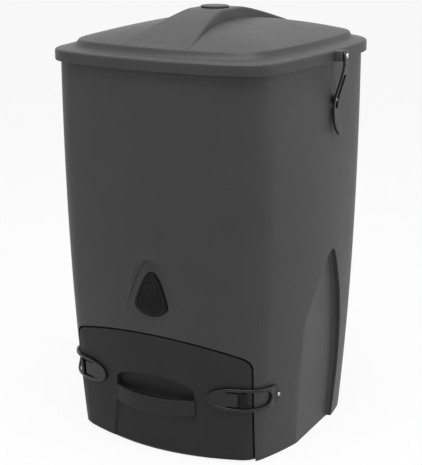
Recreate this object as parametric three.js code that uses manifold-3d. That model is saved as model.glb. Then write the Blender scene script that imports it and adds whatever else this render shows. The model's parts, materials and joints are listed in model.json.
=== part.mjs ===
// Insulated garden compost bin with a hinged lid, a lift-out front hatch and rubber latches.
// Millimetres. Origin on the ground under the middle of the tub, +X right, +Y to the back, +Z up.
import * as THREE from 'three';
import { mergeVertices } from 'three/addons/utils/BufferGeometryUtils.js';
import Module from 'manifold-3d';

const wasm = await Module();
wasm.setup();

// Clearances shared by the whole bin
const fit = 0.3;
const overrun = 12;
const halfTurn = Math.PI;
const quarterTurn = Math.PI / 2;
const fullTurn = Math.PI * 2;

// Tub: a bowed plan that tapers to the foot
const rimZ = 981;
const tubLipRise = 15;
const tubTopZ = rimZ + tubLipRise;
const rimFrontHalf = 287;
const rimBackHalf = 310;
const rimHalfDepth = 296;
const endBow = 45.3;
const endBowGain = 9.4;
const sideBulge = 20.1;
const sideBulgeGain = 32.7;
const sideTaper = 36.7;
const sideTaperPower = 2.47;
const cornerFlare = 1;
const endTaper = 28.5;
const endTaperPower = 1.51;
const frontCornerCut = 54.5;
const frontCornerCutLoss = 22.3;
const backCornerCut = 114;
const leastCornerCut = 5;
const frontSteps = 6;
const frontCornerSteps = 4;
const sideSteps = 8;
const backCornerSteps = 4;
const backSteps = 5;
const archFootSteps = 5;
const archBendSteps = 4;
const archCrownSteps = 6;

// Wall of the tub, from the outside in
const shellWall = 4;
const foamThickness = 24;
const linerWall = 3;
const foamOut = shellWall + fit;
const foamIn = foamOut + foamThickness;
const linerOut = foamIn + fit;
const linerIn = linerOut + linerWall;

// Base tray and grate
const trayFloor = 4;
const trayRim = 44;
const trayWall = 4;
const grateZ = 50;
const grateThickness = 6;
const grateClearance = 3;
const grateSlotWidth = 10;
const grateSlotLength = 150;
const grateSlotPitch = 38;
const grateLegSize = 24;

// Heights at which the tub's walls change slope
const tubLevels = [0, trayRim, 130, 240, 380, 560, 770, tubTopZ];

// Front hatch and the frame it closes on
const hatchMargin = 28.5;
const hatchTaper = 5;
const hatchHalfTop = rimFrontHalf - hatchMargin;
const hatchHalfFoot = hatchHalfTop - hatchTaper;
const hatchCrownZ = 323;
const hatchShoulderZ = 283;
const hatchCorner = 26;
const hatchGap = 4.5;
const hatchFootZ = 3;
const hatchSkin = 8;
const frameLap = 14;
const frameMargin = 6;
const frameDepthY = rimHalfDepth - endTaper - linerIn - frameMargin;
const mouthMargin = 49;
const mouthHalf = hatchHalfFoot - mouthMargin;
const mouthCrownZ = 288;
const mouthShoulderZ = 262;
const mouthFootZ = 62;
const mouthCorner = 20;
const plugGap = 3;
const gasketWidth = 10;
const gasketThickness = 2.4;

// Handle, finger pocket and channel on the hatch
const pocketHalf = 113;
const pocketShoulderZ = 190;
const pocketCrownZ = 211;
const pocketFootZ = 112;
const pocketEdgeDepth = 13;
const pocketBackDepth = 18;
const pocketWall = 3;
const channelHalfTop = 115;
const channelHalfFoot = 136;
const channelTopZ = 118;
const channelDepth = 5;
const handleHalf = 117;
const handleTopZ = 161;
const handleFootZ = 118;
const handleThickness = 6;
const handleBulge = 17;
const handleSteps = 16;
const pocketCorner = 12;

// Hatch latches: a rubber loop round each front corner
const latchZ = 177;
const latchTipMargin = 140;
const latchTipX = rimFrontHalf - latchTipMargin;
const latchScrewBack = 86;
const latchScrewY = latchScrewBack - rimHalfDepth;
const latchHeight = 62;
const latchRail = 9;
const latchThickness = 6;
const latchStandoff = 2.6;
const latchWebMargin = 63;
const latchWebEdgeX = rimFrontHalf - latchWebMargin;
const latchEyeHalf = 29;
const latchEyeSetback = 24;
const latchEyeEnd = 11;
const latchEyeWindow = 6;
const latchEyeSteps = 7;
const latchScrewLift = 0.8;
const latchNeckLength = 30;
const latchNeckHeight = 58;
const latchNoseShare = 0.42;
const latchFlatShare = 0.62;
const latchTipCut = 0.5;
const stripPitch = 10;
const latchLeadIn = 4;
const keeperGap = 6.5;
const keeperWidth = 13;
const keeperHeight = 40;
const keeperRise = 9;
const keeperBevel = 3;
const keeperSteps = 3;

// Intake vent over the hatch
const ventZ = 425;
const ventHalf = 47;
const ventTopZ = 481;
const ventFootZ = 371;
const ventPlate = 5;
const ventSleeveRadius = 22;
const ventSleeveWall = 2.5;
const louvreCount = 4;
const louvrePitch = 8;
const louvreHeight = 3;
const archTopZ = 514;
const archShoulderZ = 489;
const archShoulderHalf = 38;
const archFootZ = 331;
const archFootHalf = 96;
const archTopDepth = 13;
const archFootDepth = 1;

const archCorner = 18;
const ventFacets = 20;
const ventSleeveSetback = 3;
const ventOutlineSteps = 14;
const louvreFoot = 14;
const louvreHalf = 26;
const louvreBend = 9;
const louvreSteps = 6;
// Half outline of the vent cover from its foot to its top: share of the half width, share of the height
const ventOutlineShares = [[0, 0], [0.55, 0.05], [0.97, 0.2], [0.86, 0.45], [0.52, 0.8], [0.2, 0.98], [0, 1]];

// Side scoops that serve as lifting holds
const scoopSteps = 18;
const scoopTopZ = 494;
const scoopTopY = 31;
const scoopFootDepth = 13;
const scoopHeadDepth = 8.5;
const scoopMiddleY = -22;
const scoopHeadTurn = 0.062;
const scoopFrontY = -149;
const scoopBackY = 106;
const scoopReach = 420;
// Edge of the scoop, up its front and down its back: share of the way back, share of the height
const scoopFrontShares = [[0, 0], [0, 0.22], [0.01, 0.43], [0.17, 0.65], [0.5, 0.83], [0.82, 0.965], [1, 1]];
const scoopBackShares = [[0.32, 0.94], [0.84, 0.68], [1, 0.37], [0.72, 0]];

// Lid
const overhang = 13;
const skirtHeight = 28;
const lidWall = 4;
const plateauInset = 37;
const stepHeight = 22;
const lobeRise = 39;
const spineRise = 65;
const spineFlat = 48;
const spineReach = 300;
const spineTopHalf = 52;
const spineFootHalf = 100;
const spineWallRun = 9;
const spineEdge = 4;
const spineWidthPower = 1.5;
const spineHeightPower = 1.3;
const lidRound = 6;
const lidBevel = 2;
const shelfInset = 14;
const shelfFall = 3;
const lobeSteps = 4;
const shelfCornerCut = 70;
const plateauCornerCut = 110;
// The step from the shelf to the plateau: share of the run inwards, share of the height
const stepShares = [[0.3, 0.1], [0.52, 0.45], [0.72, 0.87]];
const lobeTipShare = 0.06;
const spineSteps = 16;
const lidLinerWall = 3;
const lidLip = 10;
const lidLipGap = 5;
const sealThickness = 3.4;
const sealInset = 8;

// Exhaust vent in the top of the lid
const exhaustRadius = 26;
const exhaustWall = 2.5;
const capRadius = 36;
const capRise = 5;
const capStem = 14;
const capGroove = 1.5;

// Lid strap on the right and its keeper
const strapY = 16;
const strapBossHalf = 16;
const strapBossReach = 19;
const strapWidth = 28;
const strapThickness = 6;
const strapRail = 7;
const strapNeckDrop = 9;
const strapNeckZ = rimZ - strapNeckDrop;
const strapNeckHalf = 9;
const strapNoseLength = 30;
const strapEyeRadius = 13;
const strapEndDrop = 184;
const strapEndZ = rimZ - strapEndDrop;
const strapKeeperDrop = 96;
const strapKeeperZ = rimZ - strapKeeperDrop;
const strapKeeperRadius = 6;
const strapKeeperRise = 11;
const strapKeeperHead = 4;
const strapKeeperFlange = 2;
const strapKeeperBevel = 1;
const strapSlotFootDrop = 117;
const strapSlotFootZ = rimZ - strapSlotFootDrop;
const strapSlotTopDrop = 31;
const strapSlotTopZ = rimZ - strapSlotTopDrop;
const strapStandoff = 4;
const strapPadRise = 2;
const strapPadRadius = 13;
const strapFlare = 12;
const strapLeadIn = 4;

// Lid hinge on the left
const hingePadReach = 12;
const hingeDrop = 7;
const hingeZ = rimZ - hingeDrop;
const hingeHalf = 62;
const hingeBarrel = 6.5;
const hingePin = 3;
const hingeLeaf = 3;
const hingeKnuckles = 5;
const hingeKnuckleGap = 0.6;
const hingePadFootDrop = 76;
const hingePadZ = rimZ - hingePadFootDrop;
const hingeScrewY = 34;
const hingeScrewHead = 4.5;
const hingeScrewLength = 10;
const hingePadDepth = 30;
const hingePadDrop = 10;
const hingeBossHalf = 68;

// Screws
const screwHead = 6.5;
const screwHeadRise = 3.4;
const screwShank = 2.5;
const screwLength = 16;
const screwFacets = 12;

// Drain at the foot of the back
const drainZ = 24;
const drainRadius = 13;
const drainBore = 9;
const drainFlange = 19;
const drainFlangeWall = 3;
const drainStub = 14;
const drainPadHalf = 22;
const drainPadRise = 3;
const drainCapWall = 3.2;
const drainCapDepth = 11;
const drainGrip = 2;
const drainFacets = 20;

const materials = {
  tub: { color: 0x3f4042, roughness: 0.62, metalness: 0 },
  hatch: { color: 0x2b2c2e, roughness: 0.6, metalness: 0 },
  rubber: { color: 0x17181a, roughness: 0.7, metalness: 0 },
  black: { color: 0x101112, roughness: 0.5, metalness: 0 },
  foam: { color: 0xd8d2b8, roughness: 0.95, metalness: 0 },
  liner: { color: 0x2f3032, roughness: 0.55, metalness: 0 },
  steel: { color: 0xc9cbce, roughness: 0.28, metalness: 1 },
};

const group = new THREE.Group();
group.name = 'compost_bin';

// Solids

function solid(geometry) {
  const bare = geometry.clone();
  bare.deleteAttribute('normal');
  bare.deleteAttribute('uv');
  const merged = mergeVertices(bare, 1e-4);
  return new wasm.Manifold(new wasm.Mesh({
    numProp: 3,
    vertProperties: new Float32Array(merged.attributes.position.array),
    triVerts: new Uint32Array(merged.index.array),
  }));
}

function addPart(name, shape, finish) {
  const mesh = shape.getMesh();
  const geometry = new THREE.BufferGeometry();
  geometry.setAttribute('position', new THREE.BufferAttribute(new Float32Array(mesh.vertProperties), 3));
  geometry.setIndex(new THREE.BufferAttribute(new Uint32Array(mesh.triVerts), 1));
  geometry.computeVertexNormals();
  const part = new THREE.Mesh(geometry, new THREE.MeshStandardMaterial(materials[finish]));
  part.name = name;
  group.add(part);
}

// Closed geometry through a row of rings, each an array of Vector3 with the same count
function stack(rings, flat) {
  const count = rings[0].length;
  const positions = rings.flat().flatMap((p) => [p.x, p.y, p.z]);
  const faces = [];
  for (let ring = 0; ring + 1 < rings.length; ring += 1) {
    for (let i = 0; i < count; i += 1) {
      const next = (i + 1) % count;
      const a = ring * count + i;
      const b = ring * count + next;
      faces.push([a, b, b + count], [a, b + count, a + count]);
    }
  }
  const caps = THREE.ShapeUtils.triangulateShape(flat, []);
  const last = (rings.length - 1) * count;
  const upright = THREE.ShapeUtils.area(flat) > 0;
  for (const [a, b, c] of caps) {
    if (upright) faces.push([a, c, b], [last + a, last + b, last + c]);
    else faces.push([a, b, c], [last + a, last + c, last + b]);
  }
  return closed(positions, faces);
}

// A plate cut to a contour with holes, set in space by place(point, height)
function plate(contour, cuts, place, thickness) {
  const outline = THREE.ShapeUtils.isClockWise(contour) ? contour.slice().reverse() : contour;
  const holes = cuts.map((hole) => (THREE.ShapeUtils.isClockWise(hole) ? hole : hole.slice().reverse()));
  const loops = [outline, ...holes];
  const points = loops.flat();
  const count = points.length;
  const positions = [0, thickness].flatMap((height) => points.flatMap((p) => {
    const v = place(p, height);
    return [v.x, v.y, v.z];
  }));
  const faces = [];
  for (const [a, b, c] of THREE.ShapeUtils.triangulateShape(outline, holes)) {
    faces.push([a, c, b], [a + count, b + count, c + count]);
  }
  let start = 0;
  for (const loop of loops) {
    loop.forEach((_, i) => {
      const a = start + i;
      const b = start + ((i + 1) % loop.length);
      faces.push([a, b, b + count], [a, b + count, a + count]);
    });
    start += loop.length;
  }
  return closed(positions, faces);
}

// Geometry from corners and faces, turned the right way out
function closed(positions, faces) {
  let volume = 0;
  const corner = (i) => new THREE.Vector3().fromArray(positions, i * 3);
  for (const [a, b, c] of faces) volume += corner(a).dot(corner(b).cross(corner(c)));
  const index = faces.flatMap(([a, b, c]) => (volume > 0 ? [a, b, c] : [a, c, b]));
  const geometry = new THREE.BufferGeometry();
  geometry.setAttribute('position', new THREE.Float32BufferAttribute(positions, 3));
  geometry.setIndex(index);
  return geometry;
}

function join(...shapes) {
  return shapes.reduce((sum, shape) => sum.add(shape));
}

function cut(shape, ...tools) {
  return tools.reduce((rest, tool) => rest.subtract(tool), shape);
}

function box(low, high) {
  const size = high.clone().sub(low);
  const geometry = new THREE.BoxGeometry(size.x, size.y, size.z);
  geometry.translate(...low.clone().add(high).divideScalar(2).toArray());
  return solid(geometry);
}

const vec = (x, y, z) => new THREE.Vector3(x, y, z);

// A turned piece from a closed profile of [radius, height] points, set along an axis
function turned(profile, facets, at, axis) {
  const geometry = new THREE.LatheGeometry(profile.map(([r, h]) => new THREE.Vector2(r, h)), facets);
  geometry.applyQuaternion(new THREE.Quaternion().setFromUnitVectors(vec(0, 1, 0), axis.clone().normalize()));
  geometry.translate(at.x, at.y, at.z);
  const shape = solid(geometry);
  return shape.volume() > 0 ? shape : solid(flipped(geometry));
}

function flipped(geometry) {
  const index = Array.from(geometry.index.array);
  const turnedIndex = index.map((_, i) => index[i - (i % 3) + [0, 2, 1][i % 3]]);
  const copy = geometry.clone();
  copy.setIndex(turnedIndex);
  return copy;
}

function rod(radius, length, facets, at, axis) {
  return turned([[0, 0], [radius, 0], [radius, length], [0, length]], facets, at, axis);
}

function tube(radius, bore, length, facets, at, axis) {
  return turned([[bore, 0], [radius, 0], [radius, length], [bore, length], [bore, 0]], facets, at, axis);
}

// Plan of the tub

function lerp(from, to, share) {
  return from + (to - from) * share;
}

// Samples of a curve, given as a function of a share, between two shares
function samples(curve, from, to, steps) {
  return Array.from({ length: steps + 1 }, (_, i) => curve(lerp(from, to, i / steps)));
}

// The plan at height z, drawn in by `inset`, from the middle of the front round the right to the back
function halfPlan(z, inset, rimCornerCut = frontCornerCut) {
  const drop = Math.max(0, 1 - z / rimZ);
  const sideIn = sideTaper * drop ** sideTaperPower + inset;
  const endIn = endTaper * drop ** endTaperPower + inset;
  const bow = endBow + endBowGain * drop;
  const bulge = sideBulge + sideBulgeGain * drop;
  const front = new THREE.Vector2(rimFrontHalf + cornerFlare * drop - sideIn, endIn - rimHalfDepth);
  const back = new THREE.Vector2(rimBackHalf - sideIn, rimHalfDepth - endIn);
  const outward = new THREE.Vector2(back.y - front.y, front.x - back.x).normalize();
  const frontEdge = (share) => new THREE.Vector2(front.x * share, front.y - bow * (1 - share * share));
  const sideEdge = (share) => front.clone().lerp(back, share)
    .addScaledVector(outward, bulge * 4 * share * (1 - share));
  const backEdge = (share) => new THREE.Vector2(back.x * share, back.y + bow * (1 - share * share));
  const nearReach = Math.max(rimCornerCut - frontCornerCutLoss * drop - inset, leastCornerCut);
  const farReach = Math.max(backCornerCut - inset, leastCornerCut);
  const sideLength = front.distanceTo(back);
  const frontEnd = 1 - nearReach / front.x;
  const sideStart = nearReach / sideLength;
  const sideEnd = 1 - farReach / sideLength;
  const backStart = 1 - farReach / back.x;
  const near = new THREE.QuadraticBezierCurve(frontEdge(frontEnd), front, sideEdge(sideStart));
  const far = new THREE.QuadraticBezierCurve(sideEdge(sideEnd), back, backEdge(backStart));
  return [
    ...samples(frontEdge, 0, frontEnd, frontSteps).slice(0, -1),
    ...near.getPoints(frontCornerSteps),
    ...samples(sideEdge, sideStart, sideEnd, sideSteps).slice(1, -1),
    ...far.getPoints(backCornerSteps),
    ...samples(backEdge, backStart, 0, backSteps).slice(1),
  ];
}

// The same plan as one closed loop
function closedPlan(z, inset, rimCornerCut) {
  const half = halfPlan(z, inset, rimCornerCut);
  const other = half.slice(1, -1).reverse().map((p) => new THREE.Vector2(-p.x, p.y));
  return [...half, ...other];
}

// A solid through levels of [height, inset, height of the plan that it takes]
function loft(levels) {
  const rings = levels.map(([z, inset, planZ = z]) => closedPlan(planZ, inset).map((p) => vec(p.x, p.y, z)));
  return solid(stack(rings, rings[0].map((p) => new THREE.Vector2(p.x, p.y))));
}

// The space inside the tub's outer face drawn in by `inset`, between two heights
function tubCore(inset, low, high) {
  const between = tubLevels.filter((z) => z > low + fit && z < high - fit);
  return loft([low, ...between, high].map((z) => [z, inset]));
}

// One layer of the wall between two insets
function wallLayer(outer, inner, low, high) {
  return cut(tubCore(outer, low, high), tubCore(inner, low - overrun, high + overrun));
}

// The tub's outer face: front y at (x, z), and side x at (y, z)
function frontY(x, z) {
  const half = halfPlan(z, 0);
  const i = Math.max(1, half.findIndex((p) => p.x >= Math.abs(x)));
  const share = (Math.abs(x) - half[i - 1].x) / (half[i].x - half[i - 1].x);
  return lerp(half[i - 1].y, half[i].y, share);
}

function sideX(y, z) {
  const half = halfPlan(z, 0);
  const i = half.findIndex((p, n) => n > frontSteps + frontCornerSteps && p.y >= y);
  const share = (y - half[i - 1].y) / (half[i].y - half[i - 1].y);
  return lerp(half[i - 1].x, half[i].x, share);
}

// A prism along Y from an outline of (x, z) points; near and far give y at a point
function frontPrism(outline, near, far) {
  const ring = (depth) => outline.map((p) => vec(p.x, depth(p), p.y));
  return solid(stack([ring(near), ring(far)], outline));
}

// An arched outline of (x, z) points: straight foot and sides, rounded shoulders, curved crown
function archOutline({ halfFoot, halfTop, footZ, shoulderZ, crownZ, corner }) {
  const rise = crownZ - shoulderZ;
  const radius = (halfTop * halfTop + rise * rise) / (2 * rise);
  const crown = (x) => crownZ - radius + Math.sqrt(radius * radius - x * x);
  const sideAt = (z) => lerp(halfFoot, halfTop, (z - footZ) / (shoulderZ - footZ));
  const topX = halfTop - corner;
  const lowZ = shoulderZ - corner;
  const bend = new THREE.QuadraticBezierCurve(
    new THREE.Vector2(sideAt(lowZ), lowZ),
    new THREE.Vector2(halfTop, shoulderZ),
    new THREE.Vector2(topX, crown(topX)),
  );
  const right = [
    ...samples((x) => new THREE.Vector2(x, footZ), 0, halfFoot, archFootSteps).slice(1),
    ...bend.getPoints(archBendSteps),
    ...samples((x) => new THREE.Vector2(x, crown(x)), topX, 0, archCrownSteps).slice(1),
  ];
  const left = right.slice(0, -1).reverse().map((p) => new THREE.Vector2(-p.x, p.y));
  return [...right, ...left];
}

// Front hatch outline, and the wider outline of its frame

const frontReachY = rimHalfDepth + endBow + overhang + overrun;

function hatchPrism(grow, footZ) {
  const outline = archOutline({
    halfFoot: hatchHalfFoot + grow,
    halfTop: hatchHalfTop + grow,
    footZ,
    shoulderZ: hatchShoulderZ + grow,
    crownZ: hatchCrownZ + grow,
    corner: hatchCorner,
  });
  return frontPrism(outline, () => -frontReachY, () => -frameDepthY);
}

function mouthPrism(shrink, depthY) {
  const outline = archOutline({
    halfFoot: mouthHalf - shrink,
    halfTop: mouthHalf - shrink,
    footZ: mouthFootZ + shrink,
    shoulderZ: mouthShoulderZ - shrink,
    crownZ: mouthCrownZ - shrink,
    corner: mouthCorner,
  });
  return frontPrism(outline, () => -frontReachY, () => -depthY);
}

// The room in front of the frame where the hatch panel sits
const seatInset = hatchSkin + gasketThickness + 2 * fit;
const hatchRoom = cut(hatchPrism(0, -overrun), tubCore(seatInset, -overrun, tubTopZ));

// Recesses in the outer face. `grow` gives the same form one wall further in

function ventFloorY(z) {
  const share = (z - archFootZ) / (archTopZ - archFootZ);
  return frontY(0, z) + lerp(archFootDepth, archTopDepth, share);
}

function ventRecess(grow) {
  const outline = archOutline({
    halfFoot: archFootHalf + grow,
    halfTop: archShoulderHalf + grow,
    footZ: archFootZ - grow,
    shoulderZ: archShoulderZ,
    crownZ: archTopZ + grow,
    corner: archCorner,
  });
  return frontPrism(outline, () => -frontReachY, (p) => ventFloorY(p.y) + grow);
}

function scoopOutline(grow) {
  const front = scoopFrontY - grow;
  const back = scoopBackY + grow;
  const top = scoopTopZ + grow;
  const points = [
    ...scoopFrontShares.map(([y, z]) => new THREE.Vector2(lerp(front, scoopTopY, y), z * top)),
    ...scoopBackShares.map(([y, z]) => new THREE.Vector2(lerp(scoopTopY, back, y), z * top)),
  ];
  const curve = new THREE.SplineCurve(points).getPoints(scoopSteps);
  const foot = [curve[curve.length - 1], curve[0]].map((p) => new THREE.Vector2(p.x, -overrun));
  return [...curve, ...foot];
}

function scoop(side, grow) {
  const outline = scoopOutline(grow);
  const footX = sideX(scoopMiddleY, 0) - scoopFootDepth;
  const headX = sideX(scoopMiddleY, scoopTopZ) - scoopHeadDepth;
  const floorX = (p) => {
    const rise = p.y / scoopTopZ;
    return lerp(footX, headX, rise) - scoopHeadTurn * rise * (p.x - scoopMiddleY) - grow;
  };
  const rings = [() => scoopReach, floorX].map((x) => outline.map((p) => vec(side * x(p), p.x, p.y)));
  return solid(stack(rings, outline));
}

const sides = { right: 1, left: -1 };

function recesses(grow) {
  return join(ventRecess(grow), ...Object.values(sides).map((side) => scoop(side, grow)));
}

const outerRecesses = recesses(0);
const wallRecesses = recesses(shellWall);
const foamRecesses = recesses(foamOut);

// Rods that clear the holes for what passes through the wall
const alongY = vec(0, 1, 0);
const alongZ = vec(0, 0, 1);
const ventHole = rod(ventSleeveRadius + fit, frontReachY, ventFacets, vec(0, -frontReachY, ventZ), alongY);
const drainHole = rod(drainRadius + fit, frontReachY, drainFacets, vec(0, 0, drainZ), alongY);

// Hinge and strap places that the tub, the lid and the hardware share
const hingePadFaceX = -(sideX(0, rimZ) + overhang + hingePadReach);
const hingeFaceX = hingePadFaceX - fit;
const hingeX = hingeFaceX - hingeBarrel;
const hingePadTopZ = hingeZ - hingePadDrop;
const strapPadX = sideX(strapY, strapKeeperZ) + strapPadRise;
const rimSideX = sideX(strapY, rimZ) + overhang;
const strapBossX = rimSideX + strapBossReach;
const strapEyeZ = rimZ + skirtHeight / 2;
const drainPadY = halfPlan(drainZ, 0).at(-1).y + drainPadRise;

// Tub

function tubPads() {
  const hinge = frontPrism([
    new THREE.Vector2(hingePadFaceX, hingePadTopZ),
    new THREE.Vector2(hingePadFaceX, hingePadZ),
    new THREE.Vector2(-rimFrontHalf, hingePadZ - hingePadDepth),
    new THREE.Vector2(-rimFrontHalf, hingePadTopZ),
  ], () => -hingeBossHalf, () => hingeBossHalf);
  const strap = rod(strapPadRadius, strapPadX, screwFacets, vec(0, strapY, strapKeeperZ), vec(1, 0, 0));
  const drain = rod(drainPadHalf, drainPadY, drainFacets, vec(0, 0, drainZ), alongY);
  const underground = box(vec(-drainPadHalf, 0, -overrun), vec(drainPadHalf, drainPadY, 0));
  return join(hinge, strap, cut(drain, underground));
}

function tubOuterShell() {
  const outside = cut(join(tubCore(0, 0, tubTopZ), tubPads()), outerRecesses);
  const inside = cut(tubCore(shellWall, -overrun, tubTopZ + overrun), wallRecesses);
  return cut(outside, inside, hatchPrism(0, -overrun), ventHole, drainHole, ...tubScrewHoles());
}

const frameFootZ = trayRim + fit;
const foamTopZ = tubTopZ - linerWall - fit;

function tubInsulation() {
  const layer = wallLayer(foamOut, foamIn, trayRim + fit, foamTopZ);
  return cut(layer, foamRecesses, hatchPrism(frameLap + fit, -overrun), ventHole, ...tubScrewHoles());
}

function tubInnerLiner() {
  const wall = wallLayer(linerOut, linerIn, trayFloor + fit, tubTopZ);
  const flange = wallLayer(foamOut, linerIn, tubTopZ - linerWall, tubTopZ);
  return cut(join(wall, flange), mouthPrism(0, frameDepthY - linerIn), ventHole, drainHole);
}

function baseTray() {
  const floor = tubCore(foamOut, 0, trayFloor);
  const rim = wallLayer(foamOut, foamOut + trayWall, 0, trayRim);
  const scoops = Object.values(sides).map((side) => scoop(side, foamOut));
  return cut(join(floor, rim), hatchRoom, drainHole, ...scoops);
}

function compostGrate() {
  const inset = linerIn + grateClearance;
  const deck = tubCore(inset, grateZ, grateZ + grateThickness);
  const halfX = rimFrontHalf - sideTaper - inset - grateSlotPitch;
  const halfCount = Math.floor(halfX / grateSlotPitch);
  const slots = [];
  const legs = [];
  for (let i = -halfCount; i <= halfCount; i += 1) {
    for (const row of [-1, 1]) {
      const x = i * grateSlotPitch;
      const y = row * (grateSlotLength + grateSlotPitch) / 2;
      const reach = vec(grateSlotWidth / 2, grateSlotLength / 2, grateThickness + overrun);
      const middle = vec(x, y, grateZ);
      slots.push(box(middle.clone().sub(reach), middle.clone().add(reach)));
    }
  }
  for (const x of [-1, 0, 1]) {
    for (const y of [-1, 0, 1]) {
      const middle = vec(x * (halfCount + 1 / 2) * grateSlotPitch, y * (grateSlotLength + grateSlotPitch), 0);
      const low = middle.clone().add(vec(-grateLegSize / 2, -grateLegSize / 2, trayFloor + fit));
      const high = middle.clone().add(vec(grateLegSize / 2, grateLegSize / 2, grateZ + grateThickness / 2));
      legs.push(box(low, high));
    }
  }
  return join(cut(deck, ...slots), ...legs);
}

function hatchFrame() {
  const body = wallLayer(foamOut, foamIn, frameFootZ, tubTopZ).intersect(hatchPrism(frameLap, frameFootZ));
  return cut(body, hatchRoom, mouthPrism(0, 0), foamRecesses);
}

function ventCoverOutline(grow) {
  const points = ventOutlineShares.map(([x, z]) => new THREE.Vector2(
    x * (ventHalf + grow),
    lerp(ventFootZ - grow, ventTopZ + grow, z),
  ));
  const right = new THREE.SplineCurve(points).getPoints(ventOutlineSteps);
  const left = right.slice(1, -1).reverse().map((p) => new THREE.Vector2(-p.x, p.y));
  return [...right, ...left];
}

function intakeVentCover() {
  const body = frontPrism(
    ventCoverOutline(0),
    (p) => ventFloorY(p.y) - fit - ventPlate,
    (p) => ventFloorY(p.y) - fit,
  );
  const louvres = [];
  for (let i = 0; i < louvreCount; i += 1) {
    const middleZ = ventFootZ + louvreFoot + i * louvrePitch;
    const bend = (share) => new THREE.Vector2(share * louvreHalf, middleZ + louvreBend * share * share);
    const low = samples(bend, -1, 1, louvreSteps);
    const high = low.slice().reverse().map((p) => new THREE.Vector2(p.x, p.y + louvreHeight));
    louvres.push(frontPrism([...low, ...high], () => -frontReachY, (p) => ventFloorY(p.y) + overrun));
  }
  return cut(body, ...louvres);
}

function intakeVentSleeve() {
  const start = ventFloorY(ventZ) + ventSleeveSetback;
  const end = frontY(0, ventZ) + linerIn;
  const bore = ventSleeveRadius - ventSleeveWall;
  return tube(ventSleeveRadius, bore, end - start, ventFacets, vec(0, start, ventZ), alongY);
}

function drainOutlet() {
  const start = drainPadY + fit;
  const inner = drainPadY - drainPadRise - linerIn - drainStub;
  const profile = [
    [drainBore, inner - start],
    [drainRadius, inner - start],
    [drainRadius, 0],
    [drainFlange, 0],
    [drainFlange, drainFlangeWall],
    [drainRadius, drainFlangeWall],
    [drainRadius, drainFlangeWall + drainStub],
    [drainBore, drainFlangeWall + drainStub],
    [drainBore, inner - start],
  ];
  return turned(profile, drainFacets, vec(0, start, drainZ), alongY);
}

function drainCap() {
  const start = drainPadY + fit + drainFlangeWall + drainStub + fit;
  const bore = drainRadius + fit;
  const profile = [
    [0, 0],
    [bore, 0],
    [bore, -drainCapDepth],
    [bore + drainCapWall, -drainCapDepth],
    [bore + drainCapWall, drainCapWall - drainGrip],
    [bore, drainCapWall],
    [0, drainCapWall],
  ];
  const grip = box(
    vec(-bore, start + drainCapWall - drainGrip / 2, drainZ - drainGrip),
    vec(bore, start + drainCapWall + drainCapWall, drainZ + drainGrip),
  );
  return join(turned(profile, drainFacets, vec(0, start, drainZ), alongY), grip);
}

// Hatch

function pocket(grow) {
  const outline = archOutline({
    halfFoot: pocketHalf + grow,
    halfTop: pocketHalf + grow,
    footZ: pocketFootZ - grow,
    shoulderZ: pocketShoulderZ + grow,
    crownZ: pocketCrownZ + grow,
    corner: pocketCorner,
  });
  return frontPrism(outline, () => -frontReachY, (p) => frontY(p.x, p.y) + pocketDepth(p.y) + grow);
}

function pocketDepth(z) {
  return lerp(pocketBackDepth, pocketEdgeDepth, (z - pocketFootZ) / (pocketCrownZ - pocketFootZ));
}

function channel() {
  const outline = [
    new THREE.Vector2(-channelHalfFoot, -overrun),
    new THREE.Vector2(channelHalfFoot, -overrun),
    new THREE.Vector2(channelHalfTop, channelTopZ),
    new THREE.Vector2(-channelHalfTop, channelTopZ),
  ];
  const groove = frontPrism(outline, () => -frontReachY, () => -frameDepthY);
  return cut(groove, tubCore(channelDepth, -overrun, tubTopZ));
}

function hatchOuterShell() {
  const skin = wallLayer(0, hatchSkin, hatchFootZ, tubTopZ).intersect(hatchPrism(-hatchGap, hatchFootZ));
  const bowl = cut(pocket(pocketWall), cut(pocket(pocketWall), tubCore(hatchSkin / 2, 0, tubTopZ)));
  return cut(join(skin, bowl), pocket(0), channel());
}

function hatchPlug(from, to) {
  const layer = wallLayer(from, to, mouthFootZ, tubTopZ);
  return layer.intersect(mouthPrism(plugGap, frameDepthY - foamIn));
}

function hatchInsulation() {
  return cut(hatchPlug(hatchSkin + fit, foamIn), pocket(pocketWall + fit));
}

function hatchInnerLiner() {
  return hatchPlug(linerOut, linerIn);
}

function hatchGasket() {
  const layer = wallLayer(hatchSkin + fit, hatchSkin + fit + gasketThickness, 0, tubTopZ);
  const ring = cut(mouthPrism(-gasketWidth, frameDepthY), mouthPrism(plugGap - fit, frameDepthY));
  return layer.intersect(ring);
}

function handleOutline(z) {
  const swell = (x) => handleBulge * Math.max(0, 1 - (x / (pocketHalf - handleThickness)) ** 2);
  const inner = (x) => frontY(x, z) - fit - swell(x);
  const outer = (x) => inner(x) - handleThickness;
  const footX = pocketHalf - fit;
  const kneeX = footX - handleThickness;
  const footY = (x) => frontY(x, z) + pocketDepth(z) - 2 * fit;
  const end = (side) => [
    new THREE.Vector2(side * handleHalf, inner(handleHalf)),
    new THREE.Vector2(side * footX, inner(footX)),
    new THREE.Vector2(side * footX, footY(footX)),
    new THREE.Vector2(side * kneeX, footY(kneeX)),
  ];
  return [
    ...samples((x) => new THREE.Vector2(x, outer(x)), -handleHalf, handleHalf, handleSteps),
    ...end(1),
    ...samples((x) => new THREE.Vector2(x, inner(x)), kneeX, -kneeX, handleSteps),
    ...end(-1).reverse(),
  ];
}

function hatchHandle() {
  const rings = [handleFootZ, handleTopZ].map((z) => handleOutline(z).map((p) => vec(p.x, p.y, z)));
  return solid(stack(rings, handleOutline(handleTopZ)));
}

// Latches: pieces that follow the plan of the tub at the latch's height

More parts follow.
